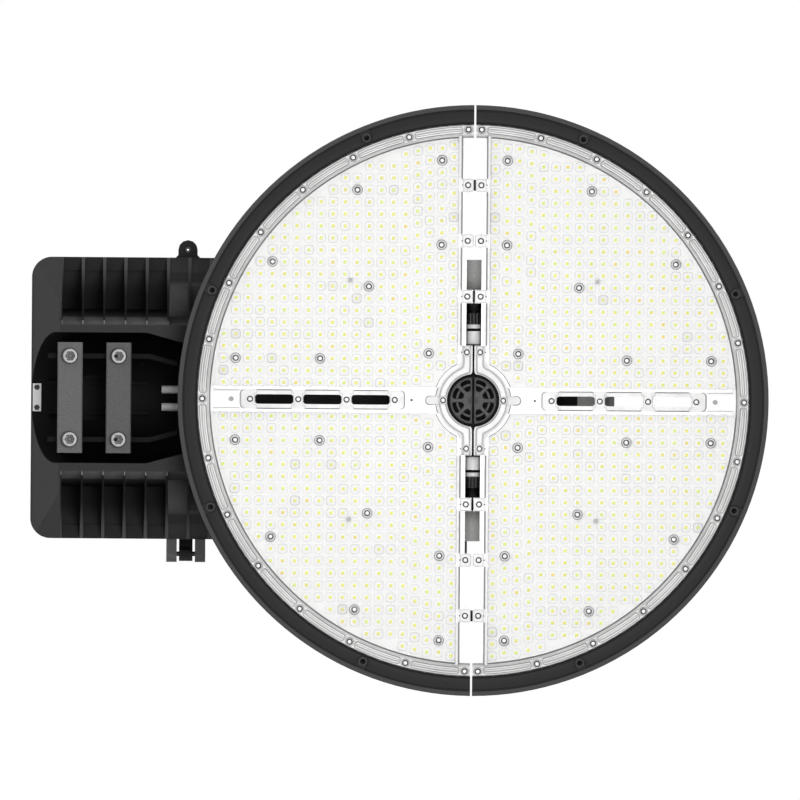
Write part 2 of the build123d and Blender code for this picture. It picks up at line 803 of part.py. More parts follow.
def boot():
    """Elbow behind the coupling nut, from level to straight up, cut across its corner."""
    level = lying(boot_r, boot_start, lead_y + boot_r, plug_z)
    upright = prism(0, lead_y, boot_r, plug_z - boot_r, boot_top, 12)
    corner = block(-2 * boot_r, 2 * boot_r, boot_start, lead_y + 2 * boot_r,
                   plug_z - 2 * boot_r, boot_top)
    knee = Pos(0, lead_y + boot_r, plug_z - boot_r) * Rot(45, 0, 0)
    return ((level + upright) & corner) - knee * Box(4 * boot_r, boot_r, 4 * boot_r)


# Places shared by screws and what they hold
clamp_bolt_places = [(x, y) for x in (-bar_offset, bar_offset) for y in (-bolt_y, bolt_y)]
saddle_bolt_places = [(x, y) for x in (-bar_offset, bar_offset)
                      for y in (-saddle_bolt_y, saddle_bolt_y)]
feet = driver_l / 2 + foot_l / 2
gear_screw_places = [(driver_x + sx * feet, side * driver_y + sy * foot_screw_pitch / 2)
                     for side in (-1, 1) for sx in (-1, 1) for sy in (-1, 1)]
rail_y = house_half_w - rail_w / 2
end_rail_x = house_right - end_rail_w / 2
rail_screw_places = [(x, side * rail_y) for x in rail_screw_xs for side in (-1, 1)]
left_bosses = [(x, side * rail_y) for x in left_boss_xs for side in (-1, 1)]
right_bosses = [(x, side * rail_y) for x in right_boss_xs for side in (-1, 1)]
right_bosses += [(end_rail_x - head_x, side * end_boss_y) for side in (-1, 1)]


def led_driver(side):
    """Potted control gear with a foot at each end."""
    y = side * driver_y
    half = driver_l / 2
    body = block(driver_x - half, driver_x + half, y - driver_w / 2, y + driver_w / 2,
                 floor_z, floor_z + driver_h)
    body += block(driver_x - half - foot_l, driver_x + half + foot_l, y - driver_w / 2,
                  y + driver_w / 2, floor_z, floor_z + foot_t)
    return body - [prism(x, at, gear_screw_r + small_gap, floor_z - cut, floor_z + foot_t + cut)
                   for x, at in gear_screw_places]


def terminal_block():
    """Barrier strip with one open way for each pole."""
    half = block_l / 2
    body = block(block_x - block_w / 2, block_x + block_w / 2, -half, half,
                 floor_z, floor_z + block_h)
    pitch = block_l / block_ways
    ways = [(k - (block_ways - 1) / 2) * pitch for k in range(block_ways)]
    sides = (block_x - block_w / 2, block_x + block_w / 2)
    top = floor_z + block_h
    return body - [block(x - way_in, x + way_in, y - way_w / 2, y + way_w / 2,
                         top - way_deep, top + cut) for y in ways for x in sides]


os.makedirs("parts", exist_ok=True)

save("main_housing", main_housing())
save("tenon_saddle", tenon_saddle())
save("saddle_bolts", *[
    prism(x, y, saddle_bolt_head_r, floor_z, floor_z + saddle_bolt_head_h)
    + prism(x, y, saddle_bolt_r, saddle_bolt_tip, floor_z, 12)
    for x, y in saddle_bolt_places])
for name, x in (("outer", -bar_offset), ("inner", bar_offset)):
    save(f"clamp_bar_{name}", clamp_bar(x))
    save(f"clamp_bolts_{name}", clamp_bolt(x, -bolt_y), clamp_bolt(x, bolt_y))

entry_plate = block(plate_left, plate_left + plate_w, -plate_l / 2, plate_l / 2,
                    plate_z, plate_z + plate_t)
plate_screw_places = [(plate_left + plate_w / 2, side * plate_screw_pitch / 2) for side in (-1, 1)]
for x, y in plate_screw_places:
    entry_plate -= prism(x, y, small_r + small_gap, plate_z - cut, plate_z + plate_t + cut)
save("entry_plate", entry_plate)
save("entry_plate_screws", *[
    screw(x, y, plate_z, small_head_r, small_head_h / 2, small_r, small_depth, 1)
    for x, y in plate_screw_places])
sleeve_right = block_right + sleeve_inside
sleeve_x = (sleeve_left + sleeve_right) / 2
sleeve = across(sleeve_x, duct_y, duct_z, sleeve_r, sleeve_right - sleeve_left)
sleeve -= across(sleeve_x, duct_y, duct_z, sleeve_bore, sleeve_right - sleeve_left)
save("lead_sleeves", *mirrored(sleeve))

save("cover_gasket", plan_box(gasket_inset, rim_z, cover_z)
     - plan_box(gasket_inset + gasket_w, rim_z - cut, cover_z + cut, False))
save("driver_cover", driver_cover())
pin_l = fork_pitch + fork_w
save("hinge_pins", *[Pos(x, hinge_y, hinge_z) * Rot(0, 90, 0) * Cylinder(pin_r, pin_l)
                     for x in hinge_x])
save("latch_screw_tenon_end", latch_screw(hinge_x[0]))
save("latch_screw_head_end", latch_screw(hinge_x[1]))

rail_inner = house_half_w - rail_w
rail_start = block_right
hinge_rail = box_tube(rail_start, house_right, rail_inner, house_half_w, True)
end_rail = box_tube(house_right - end_rail_w, house_right, -rail_inner, rail_inner, False)
engine_screw_places = [(head_x - x, y) for x, y in left_bosses]
engine_screw_places += [(head_x + x, y) for x, y in right_bosses]
top_holes = [prism(x, y, gear_screw_r + small_gap / 2, tray_under - rail_t - cut,
                   tray_under + cut) for x, y in rail_screw_places]
foot_holes = [prism(x, y, gear_screw_r + small_gap, rail_foot - cut, rail_foot + rail_t + cut)
              for x, y in engine_screw_places]
hinge_rail = hinge_rail - top_holes - foot_holes
save("carrier_rail_hinge_side", hinge_rail)
save("carrier_rail_latch_side", mirror(hinge_rail, Plane.XZ))
save("carrier_rail_end", end_rail - foot_holes)
save("carrier_screws", *[
    screw(x, y, floor_z, gear_head_r, gear_head_h, gear_screw_r, floor_t + rail_t, -1)
    for x, y in rail_screw_places])
save("engine_mount_screws", *[
    screw(x, y, rail_foot + rail_t, gear_head_r, gear_head_h, gear_screw_r, engine_screw_l, -1)
    for x, y in engine_screw_places])

right_sink = heat_sink(right_bosses)
left_sink = heat_sink(left_bosses)
clear_lens = lens()
seals = lens_seal()
board = quadrant(optic_wall + board_gap, seat_z - board_t, seat_z)
bezel = slot_bezel()
grille = vent_grille()
rim_places, channel_places, bezel_places = lens_screw_places()


def screw_heads(places, face_z):
    """Heads of the small lens screws: there are so many that their shanks are left out."""
    right = [prism(x, y, small_head_r, face_z - small_head_h, face_z) for x, y in places]
    return right + [left_of(s) for s in right]


save_on_head("heat_sink_right", right_sink)
save_on_head("heat_sink_left", left_of(left_sink))
save_on_head("lens_right", clear_lens)
save_on_head("lens_left", left_of(clear_lens))
save_on_head("lens_seal_right", *seals)
save_on_head("lens_seal_left", *[left_of(s) for s in seals])
save_on_head("led_board_right_hinge_side", board)
save_on_head("led_board_right_latch_side", mirror(board, Plane.XZ))
save_on_head("led_board_left_hinge_side", left_of(board))
save_on_head("led_board_left_latch_side", left_of(mirror(board, Plane.XZ)))
save_on_head("slot_bezel_right", bezel)
save_on_head("slot_bezel_left", left_of(bezel))
save_on_head("vent_grille_right", grille)
save_on_head("vent_grille_left", left_of(grille))
save_on_head("rim_screws", *screw_heads(rim_places, flange_z))
save_on_head("channel_screws", *screw_heads(channel_places, flange_z))
save_on_head("bezel_screws", *screw_heads(bezel_places, flange_z - bezel_t))

joiner_y = tab_ys[joiner_row]
joiner_top = base_top + joiner_t
save_on_head("engine_joiners", *mirrored(block(
    -joiner_half_w, joiner_half_w, joiner_y - joiner_l / 2, joiner_y + joiner_l / 2,
    base_top, joiner_top)))
save_on_head("joiner_screws", *[
    prism(x, y, small_head_r, joiner_top, joiner_top + small_head_h)
    for x in (-tab_screw_x, tab_screw_x) for y in (-joiner_y, joiner_y)])

hub_outline = chamfer(Rectangle(2 * hub_half_x, 2 * hub_half_y).vertices(), hub_corner)
hub_places = [(sx * hub_screw_x, sy * hub_screw_y) for sx in (-1, 1) for sy in (-1, 1)]
hub_cuts = [prism(0, 0, chimney_r, base_top - cut, hub_top + cut, bore_facets)]
for x, y in hub_places:
    hub_cuts.append(prism(x, y, small_r + small_gap, base_top - cut, hub_top))
    hub_cuts.append(prism(x, y, gear_head_r, base_top + small_depth, hub_top + cut))
save_on_head("wiring_hub", extrude(Pos(0, 0, base_top) * hub_outline, hub_h) - hub_cuts)
save_on_head("hub_screws", *[
    screw(x, y, base_top + small_depth, small_head_r, small_head_h, small_r, 2 * small_depth, -1)
    for x, y in hub_places])

seal_radii = (plug_gasket_r, socket_r, ring_r, collar_r, nut_r)
stack = [lying(r, a, b, plug_z) for r, a, b in zip(seal_radii, plug_marks, plug_marks[1:])]
save_on_head("connector_seals", *mirrored(stack[0]), *mirrored(stack[2]))
save_on_head("connector_sockets", *mirrored(stack[1]))
save_on_head("connector_collars", *mirrored(stack[3]))
save_on_head("coupling_nuts", *mirrored(stack[4]))
save_on_head("lead_boots", *mirrored(boot()))
gland_foot = tray_under - gland_h
save_on_head("engine_leads", *mirrored(prism(0, lead_y, lead_r, boot_top, gland_foot, 12)))
gland = prism(0, lead_y, gland_r, gland_foot, tray_under)
gland += prism(0, lead_y, gland_neck_r, tray_under, floor_z + floor_t)
save_on_head("lead_glands", *mirrored(gland))

save("led_driver_hinge_side", led_driver(1))
save("led_driver_latch_side", led_driver(-1))
save("driver_screws", *[
    screw(x, y, floor_z + foot_t, gear_head_r, gear_head_h, gear_screw_r, floor_t + foot_t, -1)
    for x, y in gear_screw_places])
save("terminal_block", terminal_block())
surge_y = -house_half_w + wall + surge_inset + surge_w / 2
save("surge_protector", block(surge_x - surge_l / 2, surge_x + surge_l / 2, surge_y - surge_w / 2,
                              surge_y + surge_w / 2, floor_z, floor_z + surge_h))
save("earth_screw", screw(*earth_place, floor_z + earth_boss_h, gear_head_r, gear_head_h,
                          gear_screw_r, earth_boss_h - cut, -1))
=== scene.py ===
import json
import math
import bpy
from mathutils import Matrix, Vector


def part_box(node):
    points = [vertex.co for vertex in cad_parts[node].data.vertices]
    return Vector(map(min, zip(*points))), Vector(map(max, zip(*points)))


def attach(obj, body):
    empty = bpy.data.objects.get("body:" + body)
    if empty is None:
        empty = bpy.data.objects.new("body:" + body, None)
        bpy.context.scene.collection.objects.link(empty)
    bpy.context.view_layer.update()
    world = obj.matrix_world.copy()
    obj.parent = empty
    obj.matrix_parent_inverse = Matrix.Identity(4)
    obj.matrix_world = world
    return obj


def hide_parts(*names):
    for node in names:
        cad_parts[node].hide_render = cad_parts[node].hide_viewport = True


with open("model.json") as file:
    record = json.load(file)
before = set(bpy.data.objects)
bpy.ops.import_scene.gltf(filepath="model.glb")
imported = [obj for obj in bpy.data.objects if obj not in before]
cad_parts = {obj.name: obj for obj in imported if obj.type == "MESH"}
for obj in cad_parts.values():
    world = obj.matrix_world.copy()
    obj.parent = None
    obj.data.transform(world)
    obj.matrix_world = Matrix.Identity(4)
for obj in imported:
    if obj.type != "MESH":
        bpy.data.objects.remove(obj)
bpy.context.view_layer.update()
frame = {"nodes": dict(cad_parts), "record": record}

from types import SimpleNamespace

import bmesh
import bpy
import numpy as np
from mathutils import Vector

bl_info = {
    "name": "High-mast light",
    "version": (1, 0, 0),
    "blender": (4, 5, 0),
    "location": "3D View > Sidebar > Mast light",
    "description": "Dresses the packed light with its lenses, LEDs, screws and finishes",
    "category": "Object",
}

MM = 0.001               # shapes and places in finishes are worked out in millimetres


def span(node, axis):
    """A CAD node's lowest and highest place along one axis."""
    return [corner[axis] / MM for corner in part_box(node)]


# Places in the frame; SPLIT, FIELD_X and BEZEL_X are counted from the head's centre
BOARD = "led_board_right_hinge_side"
HEAD_ENDS = span("heat_sink_left", 0)[0], span("heat_sink_right", 0)[1]
HEAD_X = sum(HEAD_ENDS) / 2
HEAD_R = (HEAD_ENDS[1] - HEAD_ENDS[0]) / 2
LIP_Z = span("heat_sink_right", 2)[0]
SPLIT, LENS_R = [x - HEAD_X for x in span("lens_right", 0)]
FIELD_Z = span("lens_right", 2)[0]
FLANGE_Z = span("rim_screws", 2)[1]
BOARD_Z = span(BOARD, 2)[0]
SEAL_MARGIN, BEZEL_ENDS, SLOTS = 0.4, 20.6, 3
FIELD_X = span("lens_seal_right", 0)[0] - HEAD_X - SEAL_MARGIN
BEZEL_X = [x - HEAD_X for x in span("slot_bezel_right", 0)]
VENT_R = span("vent_grille_right", 1)[1]
HUB_END = span("wiring_hub", 1)[1]
PLUG_Z = sum(span("coupling_nuts", 2)) / 2
HOUSE_END = span("main_housing", 0)[1]
GUARDS = next(m["dims"] for m in frame["record"]["mounts"] if m["name"] == "guard_holes")

COLLAR_R, BOARD_R, CLEAR_R = 38.8, 257.2, 260.6      # the lens is clear from first to last
SLOT_PITCH = (BEZEL_X[1] - BEZEL_X[0] - BEZEL_ENDS) / SLOTS
SLOT_LENGTH, SLOT_HALF, SLOT_START = 38.2, 4.8, 14.5
SIDES = {"right": 1, "left": -1}
BOARD_SCREW_SITES = ((1, 11), (1, 18), (2, 2), (7, 8), (8, 16), (11, 2), (15, 10), (18, 2))


def linear(code):
    """The linear colour of a screen colour written as #rrggbb."""
    parts = [int(code[k:k + 2], 16) / 255 for k in (1, 3, 5)]
    return [p / 12.92 if p <= 0.04045 else ((p + 0.055) / 1.055) ** 2.4 for p in parts]


def tone(value):
    """The three parts of a colour given as a code, a grey or parts."""
    if isinstance(value, str):
        return linear(value)
    return value if hasattr(value, "__len__") else (value,) * 3


def shade(tint, factor):
    return [min(1, part * factor) for part in tone(tint)]


def colour(name, code, description):
    return bpy.props.FloatVectorProperty(
        name=name, description=description, subtype="COLOR", size=3, min=0, max=1,
        default=linear(code))


def length(name, default, description):
    return bpy.props.FloatProperty(
        name=name, description=description, default=default * MM, min=0, unit="LENGTH",
        subtype="DISTANCE")


def number(name, default, description):
    return bpy.props.FloatProperty(name=name, description=description, default=default)


class OpticSizes(bpy.types.PropertyGroup):
    """The LED grid and the small optics over it."""
    pitch: length("Grid pitch", 12, "From one LED to the next")
    first_column: length("First column", 20.55, "Column beside the split")
    first_row: length("First row", 16.75, "Row beside the air slots")
    reach: length("Reach", 257.3, "Grid sites within this radius have an LED")
    clear: length("Vent clearance", 41, "Nearest LED to the head's centre")
    half: length("Half width", 4.95, "Half width of one optic")
    corner: length("Corner", 2.7, "Corner radius of one optic")
    rise: length("Rise", 1.5, "Height of one optic above the lens")
    wall: length("Wall", 0.8, "Width of each of an optic's two sloped bands")
    led_half: length("LED half width", 1.6, "Half width of an LED's phosphor")


class MouldingSizes(bpy.types.PropertyGroup):
    """Raised forms on the clear lens."""
    rim_width: length("Rim width", 13.4, "Width of the lens flange round the rim")
    rim_rise: length("Rim rise", 1.3, "Height of the moulding on the rim")
    pocket_half: length("Pocket half width", 3.3, "Half width of the long arc pockets")
    pocket_gap: length("Pocket gap", 6.2, "From a rim screw to the next pocket's end")
    collar_r: length("Collar radius", 37.9, "Outline of the collar round the vent")
    inner_r: length("Inner line radius", 33.4, "Line inside the collar's outline")
    lip_r: length("Lip line radius", 27.4, "Line nearest to the vent")
    ear_x: length("Ear reach", 48, "Reach of the collar's ears along the slots")
    ear_half: length("Ear half width", 5, "Half width of the collar's ears")


class CastingSizes(bpy.types.PropertyGroup):
    """Places on the castings where their finish changes."""
    first_rib: length("First rib", 33, "From the tenon's middle back to the first rib")
    rib_pitch: length("Rib pitch", 21.2, "From one side rib to the next")
    rib_half: length("Rib half width", 2.0, "Half of the widest rib crest")
    crest_foot: length("Crest foot", 77, "Where a rib's crest leaves the block's foot")
    crest_slope: number("Crest slope", 74 / 63, "Rise of a rib's crest for its run")
    vault_half: length("Vault half width", 65.3, "Half width of the tenon's vault")


class PaintColours(bpy.types.PropertyGroup):
    """Screen colours of the finishes."""
    housing: colour("Housing", "#414142", "Powder coat of the driver housing")
    # Colour of the painted shade in the vault, between the ribs and on the cover's knuckles
    painted_shade: colour("Recess", "#040404", "Shaded inside of the tenon's vault")
    rim: colour("Rim", "#242424", "Powder coat of the light engines")
    # The lip's lighter tone is painted light on its flat face
    lip: colour("Lip", "#404040", "Lip round the rim")
    rails: colour("Rails", "#cececc", "Undersides of the carrier rails")
    bars: colour("Clamp bars", "#696969", "Grained clamp bars")
    bright: colour("Bright metal", "#dcdcdc", "Screws, bolts and plated parts")
    lens: colour("Lens", "#f6f6f6", "Clear lens over the boards")
    # Grey of the painted shade on the clear lens's steep faces
    line: colour("Lens lines", "#a2a2a6", "Steep faces of the clear lens")
    board: colour("Boards", "#fdfdfc", "White solder mask")
    phosphor: colour("LED", "#fffe7e", "LED phosphor")
    grille: colour("Vent grille", "#4b4b4b", "Moulded vent grille")


class StudioSettings(bpy.types.PropertyGroup):
    """Camera and light."""
    frame_width: length("Frame width", 795.9, "What the camera sees from side to side")
    centre_x: length("Centre", 304.2, "Middle of the camera's view along the housing")
    distance: length("Distance", 1400, "Camera below the head")
    floor_drop: length("Floor", 1800, "Floor below the head")
    roll: bpy.props.FloatProperty(name="Roll", description="Turn of the camera about its view",
                                  default=math.radians(-0.432), subtype="ANGLE")
    ambient: number("Ambient", 0.2, "Strength of the room's light on matt surfaces")
    key: number("Key", 1.0, "Strength of the soft lights")


GROUPS = {"optics": OpticSizes, "mouldings": MouldingSizes, "castings": CastingSizes,
          "paint": PaintColours, "studio": StudioSettings}


def settings():
    return bpy.context.scene.mast_light


def measures(group):
    """A group's numbers, its lengths in millimetres."""
    source = getattr(settings(), group)
    return SimpleNamespace(**{name: getattr(source, name) / (MM if "unit" in field.keywords else 1)
                              for name, field in GROUPS[group].__annotations__.items()})


# Shader maths

def operation(kind, swapped=False):
    """An operator of Socket that adds one Math node."""
    def apply(self, other=0.0):
        first, second = (other, self) if swapped else (self, other)
        return self.finish.node("ShaderNodeMath", {"operation": kind}, {0: first, 1: second})
    return apply


class Socket:
    """An output of a node; an expression on it adds Math nodes."""

    def __init__(self, finish, socket):
        self.finish = finish
        self.socket = socket

    __add__ = __radd__ = operation("ADD")
    __mul__ = __rmul__ = operation("MULTIPLY")
    __sub__, __rsub__ = operation("SUBTRACT"), operation("SUBTRACT", True)
    __lt__, __gt__ = operation("LESS_THAN"), operation("GREATER_THAN")
    __pow__ = operation("POWER")
    size, fraction = operation("ABSOLUTE"), operation("FRACT")
    at_least, turn_from = operation("MAXIMUM"), operation("ARCTAN2")

    def fade(self, low, high):
        """Rises softly from 0 to 1 between two limits."""
        return self.finish.node("ShaderNodeMapRange", {"interpolation_type": "SMOOTHSTEP"},
                                {"Value": self, "From Min": low, "From Max": high})

    def band(self, low, high, soft):
        """1 between two limits, with soft edges."""
        return self.fade(low - soft, low + soft) * (1 - self.fade(high - soft, high + soft))


class Nodes:
    """The node tree of a material or a world."""

    def __init__(self, owner):
        owner.use_nodes = True
        self.tree = owner.node_tree
        self.tree.nodes.clear()

    def node(self, kind, settings, inputs, output=0):
        """Adds one node: its settings first, then its sockets' values or links."""
        made = self.tree.nodes.new(kind)
        for name, value in settings.items():
            if name == "stops":
                ramp = made.color_ramp.elements
                while len(ramp) < len(value):
                    ramp.new(0.5)
                for element, (position, tint) in zip(ramp, value):
                    element.position = position
                    element.color = (*tone(tint), 1)
            else:
                setattr(made, name, value)
        for name, value in inputs.items():
            socket = made.inputs[name]
            if isinstance(value, Socket):
                self.tree.links.new(value.socket, socket)
            else:
                socket.default_value = (*tone(value), 1) if socket.type == "RGBA" else value
        return Socket(self, made.outputs[output]) if len(made.outputs) else None

    def sight(self):
        """1 for rays that see the surface straight, in a reflection or through glass."""
        camera, glossy, through = [
            self.node("ShaderNodeLightPath", {}, {}, f"Is {kind} Ray")
            for kind in ("Camera", "Glossy", "Transmission")]
        return camera + glossy + through


class Finish(Nodes):
    """A material round one Principled surface."""

    def __init__(self, name, gloss=0.5, **fixed):
        self.material = bpy.data.materials.new(name)
        super().__init__(self.material)
        values = {key.replace("_", " "): value for key, value in fixed.items()}
        self.surface = self.node("ShaderNodeBsdfPrincipled", {},
                                 {"Specular IOR Level": gloss, **values})
        self.node("ShaderNodeOutputMaterial", {}, {"Surface": self.surface})
        self.place = self.node("ShaderNodeTexCoord", {}, {}, "Object")

    def attribute(self, name):
        """A value stored on the mesh."""
        return self.node("ShaderNodeAttribute", {"attribute_name": name}, {}, "Fac")

    def drive(self, name, value):
        """Links a value that changes over the surface to the Principled surface."""
        self.tree.links.new(value.socket, self.surface.socket.node.inputs[name])

    def finished(self, base, roughness):
        """Drives the colour and the roughness, and gives the material."""
        self.drive("Base Color", base)
        self.drive("Roughness", roughness)
        return self.material

    def mix(self, factor, first, second):
        """A colour between two colours."""
        return self.node("ShaderNodeMix", {"data_type": "RGBA"},
                         {0: factor, 6: first, 7: second}, 2)

    def layers(self, base, *coats):
        """A colour under coats of (mask, colour), one after another."""
        for mask, tint in coats:
            base = self.mix(mask, base, tint)
        return base

    def noise(self, scale, detail=3.0, stretch=(1, 1, 1)):
        """Noise between 0 and 1 on the object's own place, stretched along its axes."""
        place = self.node("ShaderNodeMapping", {}, {0: self.place, 3: stretch})
        return self.node("ShaderNodeTexNoise", {}, {"Vector": place, "Scale": scale,
                                                    "Detail": detail})

    def along(self, axis):
        """The object's own place along one axis."""
        return self.node("ShaderNodeSeparateXYZ", {}, {0: self.place}, axis) * (1 / MM)

    def polar(self):
        """X and Y from the head's centre, and the distance from it."""
        x, y = self.along(0) - HEAD_X, self.along(1)
        return x, y, (x * x + y * y) ** 0.5

    def normal(self):
        return self.node("ShaderNodeNewGeometry", {}, {}, "Normal")

    def steep(self, *limits):
        """From 0 on level faces to 1 on upright ones, between two limits of the slope."""
        level = self.node("ShaderNodeSeparateXYZ", {}, {0: self.normal()}, 2).size()
        return self.ramp(1 - level, (limits[0], 0), (limits[1], 1))

    def ramp(self, value, *stops):
        """Maps a value through stops of (position, grey or colour)."""
        return self.node("ShaderNodeValToRGB", {"stops": stops}, {0: value})

    def bump(self, height, strength, distance, **normal):
        self.drive("Normal", self.node("ShaderNodeBump", {}, {
            "Height": height, "Strength": strength, "Distance": distance * MM, **normal}))


def powder_coat(name, tint, areas=None, roughness=0.6, grain=900, edge=0.9, gloss=0.2):
    """Cast and powder-coated metal: fine speckle, soft blotches and painted highlights on rounded
    edges.
    """
    f = Finish(name, gloss)
    speckle, cloud = f.noise(grain, 2.0), f.noise(14, 4.0)
    round_edge = f.node("ShaderNodeBevel", {"samples": 4}, {"Radius": edge * MM})
    edge_highlight = 1 - f.node("ShaderNodeVectorMath", {"operation": "DOT_PRODUCT"},
                      {0: round_edge, 1: f.normal()}, 1)
    base = f.layers(shade(tint, 0.82),
                    (f.ramp(speckle, (0.35, 0), (0.68, 1)), shade(tint, 1.2)),
                    (f.ramp(cloud, (0.3, 0), (0.8, 0.5)), shade(tint, 0.8)),
                    # painted highlight: rounded edges turn lighter where the bevelled normal bends
                    # away
                    (f.ramp(edge_highlight, (0.02, 0), (0.3, 0.55)), shade(tint, 2.2)))
    f.bump(speckle, 0.25, 0.25, Normal=round_edge)
    return f.finished(areas(f, base) if areas else base, roughness + 0.12 * (speckle - 0.5))


def housing_areas(f, base):
    """Painted shade in the vault and the cells between the ribs, painted light on the ribs'
    crests.
    """
    c, m = settings().paint, measures("castings")
    x, out, z = f.along(0), f.along(1), f.along(2)
    y = out.size()
    tray_z, tray_side, foot_z = 38.5, 140.2, -37.9
    block_end, block_side, crest_drop, crest_depth = 118, 126.6, 38, 0.8
    vault_drop, vault_end = 28, 97
    low = z < tray_z
    before_end = (x < block_end) * low
    block = (x > -m.first_rib) * before_end
    step = ((x + m.first_rib) * (1 / m.rib_pitch) + 0.5).fraction() - 0.5
    line = (y - m.crest_foot) * m.crest_slope - crest_drop
    crest = (x > -m.first_rib - m.rib_half) * before_end * (
        (step.size() * m.rib_pitch) < m.rib_half) * (
        (z - line).size() < crest_depth) * (y > m.crest_foot)
    shallow = x.fade(71, 75) * block
    cells = block * y.fade(80, 88) * (1 - 0.25 * y.fade(104, 122))
    up = (z + vault_drop).at_least(0.0)
    vault = ((up * up + y * y) ** 0.5 < m.vault_half) * low * (x < vault_end)
    far = x.fade(66, 116) * (1 - y.fade(60, 120)) * low
    # painted shade in hollows and on one side, painted light on foot, crests, head cells, other
    # side
    return f.layers(
        base,
        ((z < foot_z) * 0.3, c.painted_shade),
        (y.band(73.4, 80.5, 1.2) * block * (1 - shallow), shade(c.housing, 3.9)),
        (cells * (0.96 - 0.96 * shallow), c.painted_shade),
        (y.band(82, 110, 8) * shallow, shade(c.housing, 1.8)),
        (shallow * y.band(115, 126, 2) * 0.6, c.painted_shade),
        ((y > block_side) * block * 0.75 * (1 - 0.5 * shallow), shade(c.housing, 0.3)),
        (crest, f.mix(y.fade(98, 140), c.painted_shade, shade(c.housing, 1.9))),
        (far * 0.1, c.painted_shade),
        (vault * (z > foot_z), c.painted_shade),
        (out > tray_side, shade(c.housing, 2.7)),
        ((out < -tray_side) * 0.5, c.painted_shade))


def cover_areas(f, base):
    """Painted shade on the knuckles and ears outside the housing's sides."""
    side, strength = 140.5, 0.85
    # painted shade outside the housing's sides
    return f.mix((f.along(1).size() > side) * strength, base, settings().paint.painted_shade)


def rim_areas(f, base):
    """Painted light on the lip and an inward band; painted shade in creases, pad outlines and
    holes.
    """
    c, crease, hole = settings().paint, 0.004, 0.002
    pad_r, hole_r, lip_width = 5.8, 2.7, 4.6
    x, y, r = f.polar()
    pitch, ring_r = 2 * math.pi / GUARDS["count"], GUARDS["pcd_mm"] / 2
    step = (y.turn_from(x) * (1 / pitch) + 8).fraction() - 0.5
    apart = ((step * pitch * ring_r) ** 2 + (r - ring_r) ** 2) ** 0.5
    pad = (apart < pad_r) * (r < HEAD_R - 7)
    lip = r.band(HEAD_R - lip_width, HEAD_R + 5, 0.3) * (f.along(2) < LIP_Z + 0.4)
    # painted light on the lip and inner band, painted shade in creases, pad outlines and holes
    return f.layers(
        base,
        ((HEAD_R - r).fade(9, 17), shade(c.rim, 1.35)),
        (lip, c.lip),
        (r.band(HEAD_R - 7.0, HEAD_R - 4.5, 0.4) * (1 - pad) * 0.8, crease),
        (apart.band(4.9, 6.0, 0.3) * (r < HEAD_R - 5) * 0.85, crease),
        (apart < hole_r, hole),
        (r.band(HEAD_R - 19, HEAD_R - 17.2, 0.3) * 0.9, crease))


def brushed(name, tint, roughness=0.35, stretch=(1, 1, 1), scale=600, metallic=1.0):
    """Metal with fine scratches along one axis."""
    f = Finish(name, Metallic=metallic)
    lines = f.noise(scale, 5.0, stretch)
    f.bump(lines, 0.2, 0.1)
    return f.finished(f.mix(lines, shade(tint, 0.75), shade(tint, 1.2)),
                      roughness + 0.25 * (lines - 0.5))


def moulded(name, tint, roughness=0.5, gloss=0.3):
    """Moulded plastic or rubber with a fine grain."""
    f = Finish(name, gloss)
    speckle = f.noise(700, 2.0)
    f.bump(speckle, 0.15, 0.15)
    return f.finished(f.mix(speckle, shade(tint, 0.8), shade(tint, 1.25)),
                      roughness + 0.2 * (speckle - 0.5))


def lens_finish():
    """Clear over the boards, white on its seat; painted shade black at slots and grey on steep
    faces.
    """
    c, inset, mouth_half, mouth_share = settings().paint, 0.15, 5.2, 1.03
    f = Finish("lens_clear", 0.3, IOR=1.49)
    x, y, r = f.polar()
    board = (x.size() > span(BOARD, 0)[0] - HEAD_X + inset) * (
        y.size() > span(BOARD, 1)[0] + inset) * (r < CLEAR_R) * (r > COLLAR_R)
    steep, flow = f.steep(0.02, 0.5), f.noise(60)
    f.drive("Alpha", 1 - board * (0.985 - 0.3 * steep - 0.01 * flow))
    step = (x.size() - BEZEL_X[0] - SLOT_START) * (1 / SLOT_PITCH)
    # painted shade: the lens turns black over the air slots' mouths
    slot_shade = (y.size() < mouth_half) * (
        step.fraction() < mouth_share * SLOT_LENGTH / SLOT_PITCH) * (
        x < HOUSE_END - HEAD_X) * ((step > 0) * (step < SLOTS))
    # painted shade in grey on steep faces
    return f.finished(f.mix(slot_shade, f.mix(steep * 0.5, c.lens, c.line), 0.012),
                      0.15 + 0.1 * flow)


def optic_finish():
    """Clear optic whose steep edges are painted shade, grey or lilac by a small chance of its own.
    """
    f = Finish("optic_clear", 0.3, IOR=1.49)
    chance = f.attribute("chance")
    steep, filled = f.steep(0.12, 0.4), f.ramp(chance, (0.96, 0), (1, 1))
    grey = f.ramp(chance, (0, (0.8, 0.79, 0.86)), (0.75, (0.56, 0.55, 0.64)),
                  (1, (0.25, 0.24, 0.32)))
    f.drive("Alpha", 0.004 + steep * (0.15 + 0.1 * chance) + 0.1 * filled)
    # painted shade: steep faces turn grey
    return f.finished(f.mix(0.5 * filled + steep, settings().paint.lens, grey),
                      0.15 + 0.1 * f.noise(80))


def phosphor_finish():
    """LED phosphor: from orange to greenish yellow by its own chance, with a soft grain."""
    f, yellow = Finish("led_phosphor", 0.2), settings().paint.phosphor
    tint = f.ramp(f.attribute("chance"), (0, shade(yellow, 0.92)), (0.5, yellow),
                  (0.9, (0.88, 0.97, 0.26)), (0.96, (1, 0.8, 0.2)))
    grain = f.noise(2500, 2.0)
    return f.finished(f.mix(0.15 * grain, tint, shade(yellow, 0.85)), 0.5 + 0.2 * grain)


def board_finish():
    """White solder mask with faint mottling."""
    f, white = Finish("board_white", 0.3), settings().paint.board
    return f.finished(f.mix(f.noise(30, 4.0), white, shade(white, 0.96)),
                      0.4 + 0.15 * f.noise(600))


